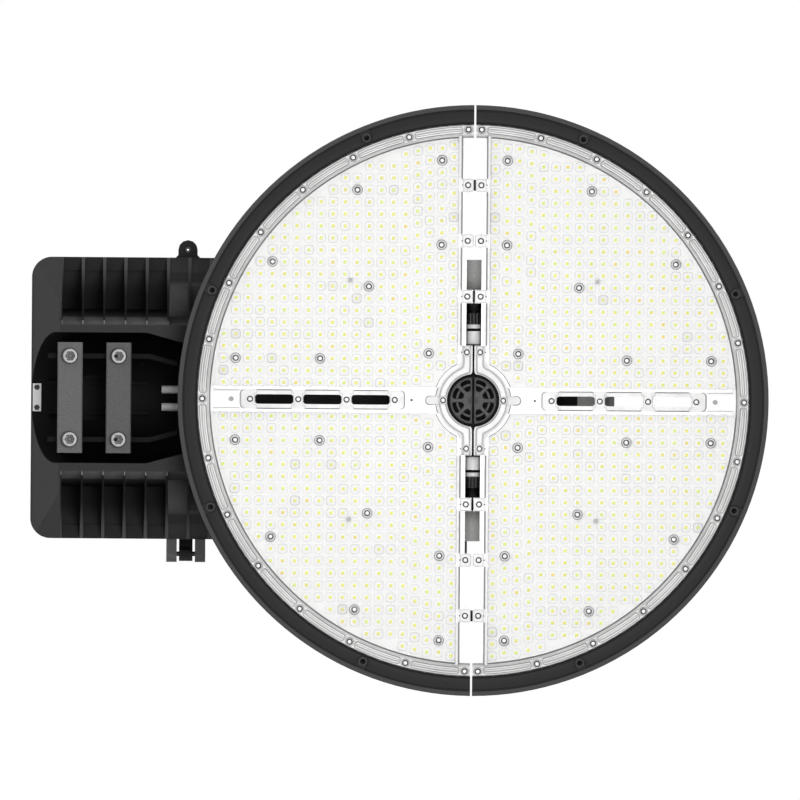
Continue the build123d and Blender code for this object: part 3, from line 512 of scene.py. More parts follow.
def lined_finish(name):
    """White moulding whose grey lines, painted shade, come from the mesh's own chance value."""
    f = Finish(name, 0.4, IOR=1.49)
    flow = f.noise(90, 4.0)
    white = f.mix(f.ramp(flow, (0.35, 0), (0.75, 1)), "#e6e6e6", "#dcdcdc")
    return f.finished(f.mix(f.attribute("chance"), white, "#828282"), 0.2 + 0.15 * flow)


def edged_finish(name, flat, edge):
    """White moulding with painted shade in grey on its steep edges, and faint mottling."""
    f = Finish(name, 0.4, IOR=1.49)
    flow = f.noise(160, 5.0)
    cloud = f.mix(f.ramp(flow, (0.4, 0), (0.75, 1)), flat, shade(flat, 0.84))
    # painted shade: steep faces take the edge grey
    return f.finished(f.mix(f.steep(0.03, 0.3), cloud, edge), 0.2 + 0.15 * flow)


def rim_lens_finish():
    """Clear lens over the bare rim seat: light grey, with dark lines of painted shade on steep
    faces.
    """
    f = Finish("rim_lens", 0.5, IOR=1.49)
    flow, r = f.noise(25, 4.0), f.polar()[2]
    flat = f.mix(r.band(LENS_R - 16, LENS_R - 10.6, 0.8), "#cfcfce", "#dedddc")
    flat = f.mix(f.ramp(flow, (0.4, 0), (0.7, 0.7)), flat, "#b4b4b3")
    # painted shade on steep faces
    return f.finished(f.mix(f.steep(0, 0.22), flat, "#848484"), 0.15 + 0.15 * flow)


def bolt_finish():
    """Zinc-plated steel: pale flat rim, with painted shade on the chamfer and in the grey socket.
    """
    f = Finish("bolt_zinc", Metallic=0.25)
    grain = f.noise(700)
    # painted shade in the socket, and on the steep chamfer below
    socket_shade = f.along(2) > span("clamp_bolts_outer", 2)[0] + 0.3
    return f.finished(f.layers("#9c9c9c", (grain, "#b4b4b4"), (socket_shade, "#626262"),
                               (f.steep(0.1, 0.5), "#303030")), 0.4 + 0.2 * grain)


def plated_finish(name, tint):
    """Satin nickel with fine turned lines, and painted shade towards the sides of the barrel."""
    f = Finish(name, 0.3)
    lines = f.noise(30, 4.0, (1, 60, 1))
    # painted shade on the barrel's sides
    side = (f.along(0) - HEAD_X).size().fade(5.6, 8) * 0.6
    return f.finished(f.layers(tint, (lines * 0.5, shade(tint, 0.96)), (side, "#8c8c8e")),
                      0.3 + 0.15 * lines)


def nut_finish(nut_r):
    """Black plastic with painted highlights, pale lines on the sides of its ridges."""
    f = Finish("nut_black", 0.08)
    x, z, grain = f.along(0) - HEAD_X, f.along(2) - PLUG_Z, f.noise(900)
    # painted highlight on the ridges' sides near the channel's middle
    side = ((x * x + z * z) ** 0.5).band(nut_r - 0.5, nut_r - 0.18, 0.08)
    return f.finished(f.layers("#040404", (grain, "#0c0c0c"),
                               (side * (20 - x.size()).fade(13.5, 16.5), "#7a7a7a")),
                      0.4 + 0.2 * grain)


def latch_finish():
    """Blackened screw with a bright centre on its tip."""
    ends = "latch_screw_tenon_end", "latch_screw_head_end"
    f = Finish("latch_steel", Metallic=0.6)
    grain, y = f.noise(800), f.along(1) - sum(span(ends[0], 1)) / 2
    near = [f.along(0) - sum(span(node, 0)) / 2 for node in ends]
    spot = [((x * x + y * y) ** 0.5) < 0.9 for x in near]
    tip = (spot[0] + spot[1]) * (f.along(2) < span(ends[0], 2)[0] + 0.5)
    return f.finished(f.layers("#2c2c2c", (grain, "#3c3c3c"), (tip, "#f0f0f0")),
                      0.35 + 0.2 * grain)


# Mesh helpers: a shape is its points and its quads, worked out as whole arrays

def sheet(points, wrap_rows=False, wrap_columns=True):
    """A grid of points, rows by columns by 3, as a shape; wrap joins the last to the first."""
    points = np.asarray(points, float)
    rows, columns = points.shape[:2]
    r = np.arange(rows if wrap_rows else rows - 1)[:, None]
    c = np.arange(columns if wrap_columns else columns - 1)[None, :]
    below, beside = (r + 1) % rows, (c + 1) % columns
    quads = np.stack([r * columns + c, r * columns + beside,
                      below * columns + beside, below * columns + c], -1)
    return points.reshape(-1, 3), quads.reshape(-1, 4)


def capped(rings):
    """Rings of points one above another, closed at both ends at their middles."""
    rings = np.asarray(rings, float)
    ends = [np.broadcast_to(ring.mean(1, keepdims=True), ring.shape)
            for ring in (rings[:1], rings[-1:])]
    return sheet(np.concatenate([ends[0], rings, ends[1]]))


def at_height(points, z):
    """Flat points lifted to one height."""
    return np.column_stack([points, np.full(len(points), z)])


def around(r, angle, z):
    """Points at a radius and an angle about Z, at a height."""
    return np.stack(np.broadcast_arrays(r * np.cos(angle), r * np.sin(angle), z), -1)


def spread(shape, places):
    """The same shape at each place."""
    points, faces = shape
    places = np.asarray(places, float).reshape(-1, 3)
    steps = np.arange(len(places))[:, None, None] * len(points)
    return ((points[None] + places[:, None]).reshape(-1, 3),
            (faces[None] + steps).reshape(-1, 4))


def joined(*shapes):
    starts = np.cumsum([0] + [len(points) for points, _ in shapes])
    return (np.concatenate([points for points, _ in shapes]),
            np.concatenate([faces + start for (_, faces), start in zip(shapes, starts)]))


def turned(profile, sides=24, lobes=None, base=0.0):
    """A profile of (radius, height) turned about Z; lobes changes the radius by angle."""
    angle = np.linspace(0, 2 * math.pi, sides, endpoint=False)
    r, z = [np.outer(part, np.ones(sides)) for part in np.transpose(profile)]
    return sheet(around(lobes(r, angle) if lobes else r, angle, z + base))


def rounded_square(half, corner, per_corner=3, half_y=None):
    """Points round a square with arc corners, from the +X +Y corner on."""
    half_y = half if half_y is None else half_y
    angle = np.arange(4)[:, None] * math.pi / 2 + np.linspace(0, math.pi / 2, per_corner)
    x = np.array([1, -1, -1, 1])[:, None] * (half - corner) + corner * np.cos(angle)
    y = np.array([1, 1, -1, -1])[:, None] * (half_y - corner) + corner * np.sin(angle)
    return np.stack([x.ravel(), y.ravel()], -1)


def ring_at(half, corner, z, per_corner=3):
    """A rounded square ring of points at one height."""
    return at_height(rounded_square(half, corner, per_corner), z)


def carried(section, path):
    """A section of (offset, height) points carried along a flat path of (x, y) points.

    Each point of the path is moved along its own normal by the offset and lifted by the height.
    """
    path, section = np.asarray(path, float), np.asarray(section, float)
    ahead = np.roll(path, -1, 0) - np.roll(path, 1, 0)
    ahead[0], ahead[-1] = path[1] - path[0], path[-1] - path[-2]
    ahead /= np.linalg.norm(ahead, axis=1)[:, None]
    normal = np.stack([-ahead[:, 1], ahead[:, 0]], -1)
    flat = path[:, None] + normal[:, None] * section[None, :, :1]
    height = np.broadcast_to(section[None, :, 1:], flat.shape[:2] + (1,))
    return capped(np.concatenate([flat, height], -1))


def straight(section, x, y):
    """A section carried along a straight line, whose x or y may be one number."""
    return carried(section, np.column_stack(np.broadcast_arrays(x, y)))


def bead(width, rise, base, sink=0.2, steps=7):
    """Section of a half-round bead that hangs from a base height, sunk into it."""
    angle = np.linspace(0, math.pi, steps)
    arc = np.stack([-np.cos(angle) * width / 2, base - np.sin(angle) * rise], -1)
    return np.concatenate([arc, [[width / 2, base + sink], [-width / 2, base + sink]]])


def plate(x0, x1, y0, y1, corner, base, rise=0.5):
    """A thin rounded plate between two corners, which hangs from a base height."""
    half_x, half_y = (x1 - x0) / 2, (y1 - y0) / 2
    outline = rounded_square(half_x, corner, 6, half_y)
    inset = rounded_square(half_x - rise, max(corner - rise, 0.2), 6, half_y - rise)
    middle = [(x0 + x1) / 2, (y0 + y1) / 2]
    return capped([at_height(points + middle, z) for points, z in (
        (outline, base + 0.4), (outline, base - 0.05), (inset, base - rise))])


def mirrored(shape, axis):
    """The mirror image of a shape about the head's centre."""
    points = shape[0].copy()
    points[:, axis] *= -1
    return points, shape[1]


def moved(shape, x=0.0, y=0.0, z=0.0):
    return shape[0] + np.array([x, y, z]), shape[1]


def make(name, shape, finish, slot, body="housing", replaces=(), smooth=35, chance=None,
         facing=0):
    """Makes one piece: merges its doubles, turns its faces outwards and seats it on a body.

    An open sheet is turned to face up or down instead, by facing 1 or -1.
    """
    points, faces = shape
    mesh = bpy.data.meshes.new(name)
    mesh.from_pydata((points * MM).tolist(), [], faces.tolist())
    if chance is not None:
        layer = mesh.attributes.new("chance", "FLOAT", "POINT")
        layer.data.foreach_set("value", np.asarray(chance, np.float32))
    work = bmesh.new()
    work.from_mesh(mesh)
    bmesh.ops.remove_doubles(work, verts=work.verts, dist=1e-6)
    bmesh.ops.dissolve_degenerate(work, edges=work.edges, dist=1e-7)
    bmesh.ops.recalc_face_normals(work, faces=work.faces)
    if facing * sum(face.normal.z for face in work.faces) < 0:
        bmesh.ops.reverse_faces(work, faces=work.faces)
    work.to_mesh(mesh)
    work.free()
    mesh.shade_smooth()
    mesh.set_sharp_from_angle(angle=math.radians(smooth))
    piece = bpy.data.objects.new(name, mesh)
    bpy.context.scene.collection.objects.link(piece)
    mesh.materials.append(finish)
    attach(piece, body)
    if replaces:
        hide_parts(*replaces)
    return piece


def make_halves(slot, *rows):
    """Makes pieces of the head's right half, then their mirror images on its left half.

    Each row has a name, a shape, a finish, the CAD node that it replaces and more for make.
    """
    pieces = []
    for side, sign in SIDES.items():
        for name, shape, finish, node, options in rows:
            half = shape if sign > 0 else mirrored(shape, 0)
            pieces.append(make(f"{name}_{side}", moved(half, HEAD_X), finish, slot,
                               replaces=(f"{node}_{side}",) if node else (), **options))
    return pieces


# Places of LEDs and screws

def led_grid():
    """Sites of one quarter's LEDs, and of its board screws, by columns and rows."""
    o = measures("optics")
    columns, rows = 20, 21
    starts = np.full(columns, o.first_row)
    starts[:4] += [21.45, 5.9, 5.9, 3.25]      # the columns beside the vent start further out
    k, j = np.meshgrid(np.arange(columns), np.arange(rows), indexing="ij")
    x, y = o.first_column + o.pitch * k, starts[k] + o.pitch * j
    r = np.hypot(x, y)
    keep = (r <= o.reach) & (r > o.clear)
    screws = np.zeros_like(keep)
    screws[tuple(np.transpose(BOARD_SCREW_SITES))] = True
    sites = np.stack([x, y], -1)
    return sites[keep & ~screws], sites[screws]


def quarters(sites, z, *sides):
    """Sites of one quarter mirrored to both quarters of each given side."""
    return np.concatenate([at_height(sites * [sx, sy] + [HEAD_X, 0], z)
                           for sx in sides for sy in (1, -1)])


def node_centres(node):
    """The middles of a CAD node's separate solids, found from its loose parts."""
    work = bmesh.new()
    work.from_mesh(frame["nodes"][node].data)
    bmesh.ops.remove_doubles(work, verts=work.verts, dist=1e-6)
    seen, middles = set(), []
    for vert in work.verts:
        if vert in seen:
            continue
        group, queue = [], [vert]
        seen.add(vert)
        while queue:
            at = queue.pop()
            group.append(at.co)
            others = {edge.other_vert(at) for edge in at.link_edges} - seen
            seen |= others
            queue.extend(others)
        middles.append([(min(c[k] for c in group) + max(c[k] for c in group)) / 2
                        for k in range(3)])
    work.free()
    return np.array(sorted(middles)) / MM


def smooth_step(low, high, value):
    t = np.clip((value - low) / (high - low), 0, 1)
    return t * t * (3 - 2 * t)


def ridge(distance, width):
    """1 on a line, falling as exp(-(distance / width)^2) beside it."""
    return np.exp(-(distance / width) ** 2)


def box_distance(x, y, half_x, half_y, corner):
    """Distance from the edge of a rounded box, below 0 inside it."""
    dx = np.abs(x) - (half_x - corner)
    dy = np.abs(y) - (half_y - corner)
    outside = np.hypot(np.maximum(dx, 0), np.maximum(dy, 0))
    return outside + np.minimum(np.maximum(dx, dy), 0) - corner


def soft_max(a, b, blend):
    """The larger of two lengths, rounded where they cross."""
    return (a + b + np.sqrt((a - b) ** 2 + blend ** 2)) / 2


class MakeOptics(bpy.types.Operator):
    """Clear optics over the LEDs, one low rounded square dome for each"""
    bl_idname = "mast_light.optics"
    bl_label = "Optics"

    def execute(self, context):
        o = measures("optics")
        sites, _ = led_grid()
        cell = sheet([ring_at(o.half, o.corner, 0.2),
                      ring_at(o.half - o.wall, o.corner - o.wall / 2, 0.25 - o.rise),
                      ring_at(o.half - 2 * o.wall, o.corner - o.wall, -o.rise),
                      ring_at(0, 0, -o.rise)])
        finish = optic_finish()
        random = np.random.default_rng(7)
        for name, side in SIDES.items():
            places = quarters(sites, FIELD_Z, side)
            chance = np.repeat(random.random(len(places)) ** 1.5, len(cell[0]))
            make(f"optics_{name}", spread(cell, places), finish, "clear_lens", chance=chance,
                 smooth=20, facing=-1)
        return {"FINISHED"}


class MakeLeds(bpy.types.Operator):
    """LED packages on the boards: a white body with a domed yellow phosphor"""
    bl_idname = "mast_light.leds"
    bl_label = "LEDs"

    def execute(self, context):
        glow_half = measures("optics").led_half
        half = glow_half + 0.3
        body = capped([ring_at(half, 0.2, 0, 2), ring_at(half, 0.2, -0.6, 2)])
        glow = capped([ring_at(glow_half, 0.7, -0.5, 2),
                       ring_at(glow_half - 0.1, 0.7, -0.8, 2),
                       ring_at(glow_half - 0.7, 0.4, -0.95, 2)])
        white, yellow = moulded("led_body", "#efefec", 0.4), phosphor_finish()
        random = np.random.default_rng(11)
        for name, side in SIDES.items():
            places = quarters(led_grid()[0], BOARD_Z, side)
            make(f"led_bodies_{name}", spread(body, places), white, "white_plastic")
            chance = np.repeat(random.random(len(places)), len(glow[0]))
            make(f"led_phosphors_{name}", spread(glow, places), yellow, "white_plastic",
                 chance=chance)
        half = (CLEAR_R - BOARD_R) / 2 + 0.6
        path = around((BOARD_R + CLEAR_R) / 2, np.linspace(-1.51, 1.51, 240), 0)[:, :2]
        film = carried([(-half, BOARD_Z + 0.1), (half, BOARD_Z + 0.1),
                        (half, BOARD_Z + 0.25), (-half, BOARD_Z + 0.25)], path)
        make("board_margins", moved(joined(film, mirrored(film, 0)), HEAD_X),
             board_finish(), "white_board")
        return {"FINISHED"}


class MakeLensScrews(bpy.types.Operator):
    """Bright screws of the lenses, each in a dark ring of painted shadow, and the board screws"""
    bl_idname = "mast_light.lens_screws"
    bl_label = "Lens screws"

    def execute(self, context):
        bright = brushed("screw_bright", "#f4f4f4", 0.3, scale=900, metallic=0.15)
        dark = moulded("screw_hole_shadow", "#0c0c0c", 0.8)
        tip, seat = 1.6, 1.44
        head = turned([(0, 0.3), (1.9, 0.3), (1.95, -seat), (1.75, -tip), (0.7, -1.06 * tip),
                       (0.55, -seat), (0, -seat)], 16)
        # painted shadow: a dark ring round each screw head, where its hole lies in shade
        ring = turned([(1.95, 0.3), (3.1, 0.3), (3.1, -0.4 * tip), (2.7, -seat), (1.95, -seat),
                       (1.95, 0.3)], 16)
        for node in ("rim_screws", "channel_screws", "bezel_screws"):
            places = node_centres(node)
            places[:, 2] = span(node, 2)[1]
            make(node + "_bright", spread(head, places), bright, "lens_screw", replaces=(node,))
            make(node + "_rings", spread(ring, places), dark, "black_rubber")
        places = quarters(led_grid()[1], FIELD_Z, 1, -1)
        lip = turned([(4.5, 0.3), (5.2, 0.3), (5.15, -0.5), (4.85, -0.8), (4.55, -0.5),
                      (4.5, 0.3)], 28)
        for name, shape, finish, slot in (
            ("screws", head, bright, "lens_screw"),
            # painted shadow round the board screws too
            ("screw_rings", ring, moulded("board_screw_hole_shadow", "#3c3c40", 0.8), "black_rubber"),
            ("screw_wells", lip, moulded("well_grey", "#8c8c90", 0.3), "clear_lens"),
        ):
            make("board_" + name, spread(shape, places), finish, slot)
        return {"FINISHED"}


class MakeRimMoulding(bpy.types.Operator):
    """The lens rim with its long arc pockets between the screws"""
    bl_idname = "mast_light.rim_moulding"
    bl_label = "Rim moulding"

    def execute(self, context):
        """z falls from the flange by a rise with soft edges, less a pocket with a rib in it
        between two screws, a round seat at each screw and a groove near the inner edge."""
        m = measures("mouldings")
        screws = node_centres("rim_screws") - [HEAD_X, 0, 0]
        right = screws[screws[:, 0] > 0]
        angles = np.sort(np.arctan2(right[:, 1], right[:, 0]))
        screw_r = np.hypot(right[:, 0], right[:, 1]).mean()
        step = np.diff(angles).mean()
        inner = LENS_R - m.rim_width
        across_rim = np.concatenate([[0, 0.25, 0.6], np.linspace(1.0, 12.4, 32),
                                     [12.8, 13.15, 13.4]])
        r = (LENS_R - across_rim * m.rim_width / across_rim[-1])[None, :]
        edge = math.acos((SPLIT + 0.3) / inner)
        angle = np.linspace(-edge, edge, 1100)[:, None]
        turns = (angle - angles[0]) / step
        along = (angle - angles[0] - (np.floor(turns) + 0.5) * step) * screw_r
        beside = (angle - angles[0] - np.round(turns) * step) * screw_r
        half = step * screw_r / 2 - m.pocket_gap
        off_middle = r - screw_r + 0.6
        pocket = box_distance(along, off_middle, half, m.pocket_half, 1.6)
        rib = box_distance(along, off_middle, half - 1.6, 1.1, 1.0)
        rise = smooth_step(0, 0.7, LENS_R - r) * smooth_step(0, 2.4, r - inner)
        seat = smooth_step(4.4, 3.6, np.hypot(beside, r - screw_r)) * rise
        pocket_depth, rib_height, seat_depth, groove_depth = 0.62, 0.4, 0.5, 0.35
        depth = m.rim_rise * (
            rise - pocket_depth * smooth_step(0.35, -0.35, pocket)
            + rib_height * smooth_step(0.4, -0.5, rib)
            - seat_depth * seat - groove_depth * ridge(r - inner - 3.0, 0.45))
        rings = np.concatenate([around(r, angle, FLANGE_Z - depth),
                                around(np.array([[inner, LENS_R]]), angle, FLANGE_Z + 0.3)], 1)
        make_halves("clear_lens", ("lens_rim", capped(rings), rim_lens_finish(), None,
                                   {"smooth": 60}))
        return {"FINISHED"}


class MakeVentCollar(bpy.types.Operator):
    """The lens collar round the vent, with its ears, and the necks up to the first tabs"""
    bl_idname = "mast_light.vent_collar"
    bl_label = "Vent collar"

    def execute(self, context):
        """z falls from the flange by a plateau less two grooves; r runs from bore to edge.

        Each groove follows the edge of a disc joined to an upright strip, rounded where they
        meet, by its distance from it. The chance value holds how dark the painted shade is.
        """
        m = measures("mouldings")
        angle = np.radians(np.linspace(-88.6, 88.6, 380))[:, None]
        neck_x, neck_y = FIELD_X + 1.3, 54.4
        toward = np.abs(np.cos(angle))
        ear_middle = m.ear_x - m.ear_half
        under = m.ear_half ** 2 - (ear_middle * np.sin(angle)) ** 2
        ear = np.where(under > 0, ear_middle * toward + np.sqrt(np.maximum(under, 0)), 0)
        outline = np.minimum(soft_max(m.collar_r, neck_x / toward, 3),
                             neck_y / np.abs(np.sin(angle)).clip(1e-3))
        edge = soft_max(outline, ear, 1.2)
        bore = VENT_R + 0.5
        r = bore + (edge - bore) * np.linspace(0, 1, 110)[None, :]
        x, y = r * np.cos(angle), r * np.sin(angle)

        def depth_in(radius, neck, blend):
            """Distance inside the union of a disc and an upright strip."""
            return soft_max(radius - np.hypot(x, y), neck - np.abs(x), blend)

        in_ear = m.ear_half - np.hypot(np.maximum(x - ear_middle, 0), y)
        inside = soft_max(depth_in(m.collar_r, neck_x, 3), in_ear, 1.2)
        middle = depth_in(m.inner_r, FIELD_X - 2.6, 2.5)
        ear_screw, neck_screw = (30, 0), (6.6, 48)
        screw = np.minimum(*[np.hypot(x - at[0], np.abs(y) - at[1])
                             for at in (ear_screw, neck_screw)])
        clear = smooth_step(3.2, 4.4, screw)
        at_middle = ridge(middle, 0.5) * clear
        at_lip = ridge(depth_in(m.lip_r, 3.2, 1.6), 0.5) * clear
        plateau, groove, lip_groove, tab_sink = 1.1, 0.5, 0.4, 0.3
        depth = plateau * smooth_step(0, 0.5, r - bore) * smooth_step(0, 1.2, inside) * (
            smooth_step(0, 0.6, neck_y - np.abs(y)))
        depth = depth - groove * at_middle - lip_groove * at_lip - tab_sink * (1 - clear)
        # painted shade along the grooves, the outline and across the fields between them
        dark = np.maximum.reduce([0.5 * at_middle, 0.95 * at_lip, 0.8 * ridge(inside - 0.6, 0.65),
                                  0.4 * (middle < 0) + 0.2 * (middle > 0)])
        top_r = np.concatenate([edge, np.full_like(edge, bore)], 1)
        rings = np.concatenate([around(r, angle, FLANGE_Z - np.maximum(depth, 0)),
                                around(top_r, angle, FLANGE_Z + 0.3)], 1)
        chance = np.pad(dark, ((1, 1), (0, 2))).ravel()
        make_halves("clear_lens", ("vent_collar", capped(rings), lined_finish("collar_clear"),
                                   None, {"smooth": 60, "chance": chance}))
        return {"FINISHED"}


class MakeChannel(bpy.types.Operator):
    """Screw tabs and grey edge lines of painted shade along the channel, and the black seal of the
    split
    """
    bl_idname = "mast_light.channel"
    bl_label = "Channel"

    def execute(self, context):
        tab_half, beside_vent = 6.3, 40
        rows = np.unique(np.round(np.abs(node_centres("channel_screws")[:, 1]), 1))
        tabs = rows[rows > beside_vent]
        rim = np.abs(node_centres("rim_screws")[:, 1]).max()
        corners = [(side, up) for side in (1, -1) for up in (1, -1)]
        edge, flank = bead(1.3, 0.8, FIELD_Z + 0.1), bead(3.0, 0.35, FIELD_Z)
        edges, flanks, plates = [], [], []
        for low, high in zip(tabs, np.append(tabs[1:], rim)):
            steps = np.linspace(low + tab_half + 0.3, high - tab_half - 0.3, 5)
            for side, up in corners:
                x = side * (FIELD_X + 0.55)
                edges.append(straight(edge, x, up * steps))
                flanks.append(straight(flank, x + side * 2.0, up * steps))
        for row in tabs[1:]:
            for side, up in corners:
                y = sorted((up * (row - tab_half), up * (row + tab_half)))
                x = sorted((side * 0.9, side * (FIELD_X + 0.6)))
                plates.append(plate(*x, *y, 2.2, FLANGE_Z))
                x = sorted((side * (FIELD_X - 0.3), side * (FIELD_X + 2.6)))
                flanks.append(plate(*x, *y, 1.2, FIELD_Z, 0.3))
        for name, parts, finish in (
            # painted shade: grey edge beads, and the steep faces of flanks and tabs
            ("edges", edges, moulded("lens_edge_grey", "#8c8c8c", 0.4)),
            ("flanks", flanks, edged_finish("lens_flank", "#ededed", "#c8c8c8")),
            ("tabs", plates, edged_finish("lens_tab", "#e0e0df", "#a6a6a6")),
        ):
            make("channel_" + name, moved(joined(*parts), HEAD_X), finish, "clear_lens")
        dot = turned([(0, 0.2), (0.75, 0.2), (0.75, -0.35), (0, -0.45)], 12)
        places = [[HEAD_X + side * (FIELD_X + 0.1), up * row, FIELD_Z]
                  for row in tabs for side, up in corners]
        make("channel_pips", spread(dot, places), moulded("pip_grey", "#555555"),
             "black_rubber")

        y = VENT_R - 0.6 + np.linspace(0, 1, 40) * (HUB_END - VENT_R + 3.2)
        half = 0.95 + 3.4 * np.exp(-(y - y[0]) / 1.5)
        low, high = FLANGE_Z - 1.3, FLANGE_Z + 1.2
        seal = capped(np.stack([at_height(np.column_stack([side * half, y]), z) for side, z in
                                ((-1, high), (1, high), (1, low), (-1, low))], 1))
        make("split_seal", moved(joined(seal, mirrored(seal, 1)), HEAD_X),
             moulded("split_black", "#060606", 0.7, 0.1), "black_rubber")
        return {"FINISHED"}


class MakeSlotBezels(bpy.types.Operator):
    """Strips round the air slots with their edges and tabs, grey with painted shade, and small
    marks on the lens
    """
    bl_idname = "mast_light.slot_bezels"
    bl_label = "Slot bezels"

    def execute(self, context):
        x0, x1 = BEZEL_X
        half, base = span("slot_bezel_right", 1)[1], span("slot_bezel_right", 2)[0]
        xs = node_centres("bezel_screws")[:, 0] - HEAD_X
        xs = np.sort(xs[xs > 0])
        gap = (xs[1] - xs[0] - SLOT_LENGTH) / 2
        edge = bead(1.0, 0.8, FIELD_Z + 0.4)
        edges, tabs, strip = [], [], []
        for low, high in zip(xs, xs[1:]):
            path_x = np.linspace(low + 7.2, high - 7.2, 4)
            for up in (1, -1):
                edges.append(straight(edge, path_x, up * half))
            mouth = rounded_square(SLOT_LENGTH / 2, 2.7, 8, SLOT_HALF)
            cell = rounded_square((high - low) / 2, 0.01, 8, half)
            strip.append(sheet([
                at_height(points + [(low + high) / 2, 0], z) for points, z in
                ((cell, base + 1.8), (cell, base), (mouth, base), (mouth, base + 1.8))],
                wrap_rows=True))
        for x in xs:
            first, last = x == xs[0], x == xs[-1]
            left = x0 + 0.9 if first else x - gap + 0.3
            right = x1 - 0.9 if last else x + gap - 0.3
            tabs.append(plate(left, right, -half, half, 4 if first or last else 0.8, base))
            for up in (1, -1):
                tabs.append(plate(max(left + 3, x - 7) if first else x - 7,
                                  min(right - 3, x + 7) if last else x + 7,
                                  *sorted((up * 5.6, up * (half + 0.7))), 1.2, base - 0.02))
        for low, high in ((x0, xs[0] + 2), (xs[-1] - 2, x1)):
            tabs.append(plate(low, high, -half, half, 4, base + 1.4, 1.4))
        make_halves(
            "clear_lens",
            ("bezel_strip", joined(*strip), edged_finish("bezel_clear", "#e0e0df", "#969696"),
             "slot_bezel", {}),
            # painted shade: grey edge beads and the steep faces of strips and tabs
            ("bezel_edges", joined(*edges), moulded("bezel_edge_grey", "#7c7c7c", 0.4), None, {}),
            ("bezel_tabs", joined(*tabs), edged_finish("bezel_tab", "#dadad9", "#bcbcbc"),
             None, {}))

        line, line_y = bead(0.6, 0.3, FIELD_Z), 8.8
        along = np.linspace(x1 + 0.6, LENS_R - 16, 3)
        lines = [straight(line, along * side, up * line_y)
                 for side in (1, -1) for up in (1, -1)]
        make("band_lines", moved(joined(*lines), HEAD_X), moulded("band_line", "#d2d2d2"),
             "clear_lens")
        for label, tint, size, x, ys in (
            ("dimples", "#a6a6a6", 2.3, 240.5, (0,)),
            ("pins", "#5a5a5a", 1.2, 61.3, (0,)),
            ("gates", "#bcbcbc", 2.4, 122.8, (118.8, -118.8)),
        ):
            mark = turned([(0, 0.2), (size, 0.2), (size, -1.6), (size - 0.3, -1.8),
                           (0.4 * size, -1.7), (0, -1.7)], 20)
            places = [[HEAD_X + a * x, y, FIELD_Z] for a in (1, -1) for y in ys]
            make(f"lens_{label}", spread(mark, places), moulded(f"{label}_grey", tint),
                 "clear_lens")
        return {"FINISHED"}


class MakeVentGrille(bpy.types.Operator):
    """The round vent grille in two halves, each with four windows and a ring"""
    bl_idname = "mast_light.vent_grille"
    bl_label = "Vent grille"

    def execute(self, context):
        """Each sector is three outlines carried into one another: its border, a window grown
        by the rounded edge, and the window, whose corners are pulled in."""
        low, high = span("vent_grille_right", 2)
        face_z = low + 0.5
        bar, inner, outer, hub_r, rim_r = 1.9, 9.9, 20.8, 6, VENT_R - 1.9
        wide, steps = math.radians(22.5), 9
        edge = np.linspace(-1, 1, steps)[:-1]
        along = np.concatenate([edge, np.ones(steps - 1), -edge, -np.ones(steps - 1)])
        across = np.roll(along, steps - 1)
        pull = 1 - 0.16 * (np.abs(along) * np.abs(across)) ** 6

        def window(middle, grow, height):
            r = (inner + outer) / 2 + across * pull * ((outer - inner) / 2 + grow)
            half = wide - np.arcsin((bar - grow) / r)
            return around(r, middle + along * pull * half, height)

        border_r = hub_r + (across + 1) / 2 * (rim_r - hub_r)
        sectors = [sheet([around(border_r, middle + along * wide, face_z),
                          window(middle, 0.5, face_z), window(middle, 0, low + 1.0)])
                   for middle in wide * np.array([-3, -1, 1, 3])]
        turn = np.linspace(-math.pi / 2, math.pi / 2, 33)
        hub = sheet([around(r, turn, face_z) for r in (hub_r, 0)], wrap_columns=False)
        path = around(1, np.linspace(-math.pi / 2, math.pi / 2, 60), 0)[:, :2]
        ring = carried([(-1.1, face_z), (-0.6, low), (0.6, low), (1.1, face_z),
                        (1.1, high - 0.4), (-1.1, high - 0.4)], path * (VENT_R - 1.1))
        web = carried([(-1.1, high - 1.6), (1.1, high - 1.6), (1.1, high - 0.3),
                       (-1.1, high - 0.3)], path * 15.8)
        finish = powder_coat("grille_plastic", settings().paint.grille, None, 0.5, 500, 0.6)
        black = moulded("grille_black", "#060606", 0.7, 0.1)

        def fitted(shape):
            """A half shape drawn in from the split by its gap."""
            return shape[0] * [1 - SPLIT / VENT_R, 1, 1] + [SPLIT, 0, 0], shape[1]

        pieces = make_halves(
            "grey_plastic",
            ("grille_face", fitted(joined(*sectors, hub)), finish, "vent_grille",
             {"smooth": 20, "facing": -1}),
            ("grille_ring", fitted(ring), black, None, {"smooth": 30}),
            ("grille_web", fitted(web), finish, None, {"smooth": 30}))
        for face in pieces[::3]:
            thick = face.modifiers.new("Thickness", "SOLIDIFY")
            thick.thickness = (high - low - 2) * MM
            thick.offset = -1
        return {"FINISHED"}


class MakeGuardBosses(bpy.types.Operator):
    """Ringed guard holes round the rim"""
    bl_idname = "mast_light.guard_bosses"
    bl_label = "Guard bosses"

    def execute(self, context):
        steps = GUARDS["count"]
        angle = (np.arange(steps) + 0.5) * 2 * math.pi / steps
        places = around(GUARDS["pcd_mm"] / 2, angle, LIP_Z + 0.5) + [HEAD_X, 0, 0]
        ring = turned([(2.6, 0.5), (4.6, 0.5), (4.5, -0.1), (4.2, -0.35), (2.9, -0.35),
                       (2.6, -0.1), (2.6, 0.5)], 32)
        # painted light: the pad round each guard hole is a lighter copy of the rim's paint
        make("guard_hole_rings", spread(ring, places),
             powder_coat("boss_lit_paint", shade(settings().paint.rim, 2.4)), "dark_paint")
        return {"FINISHED"}


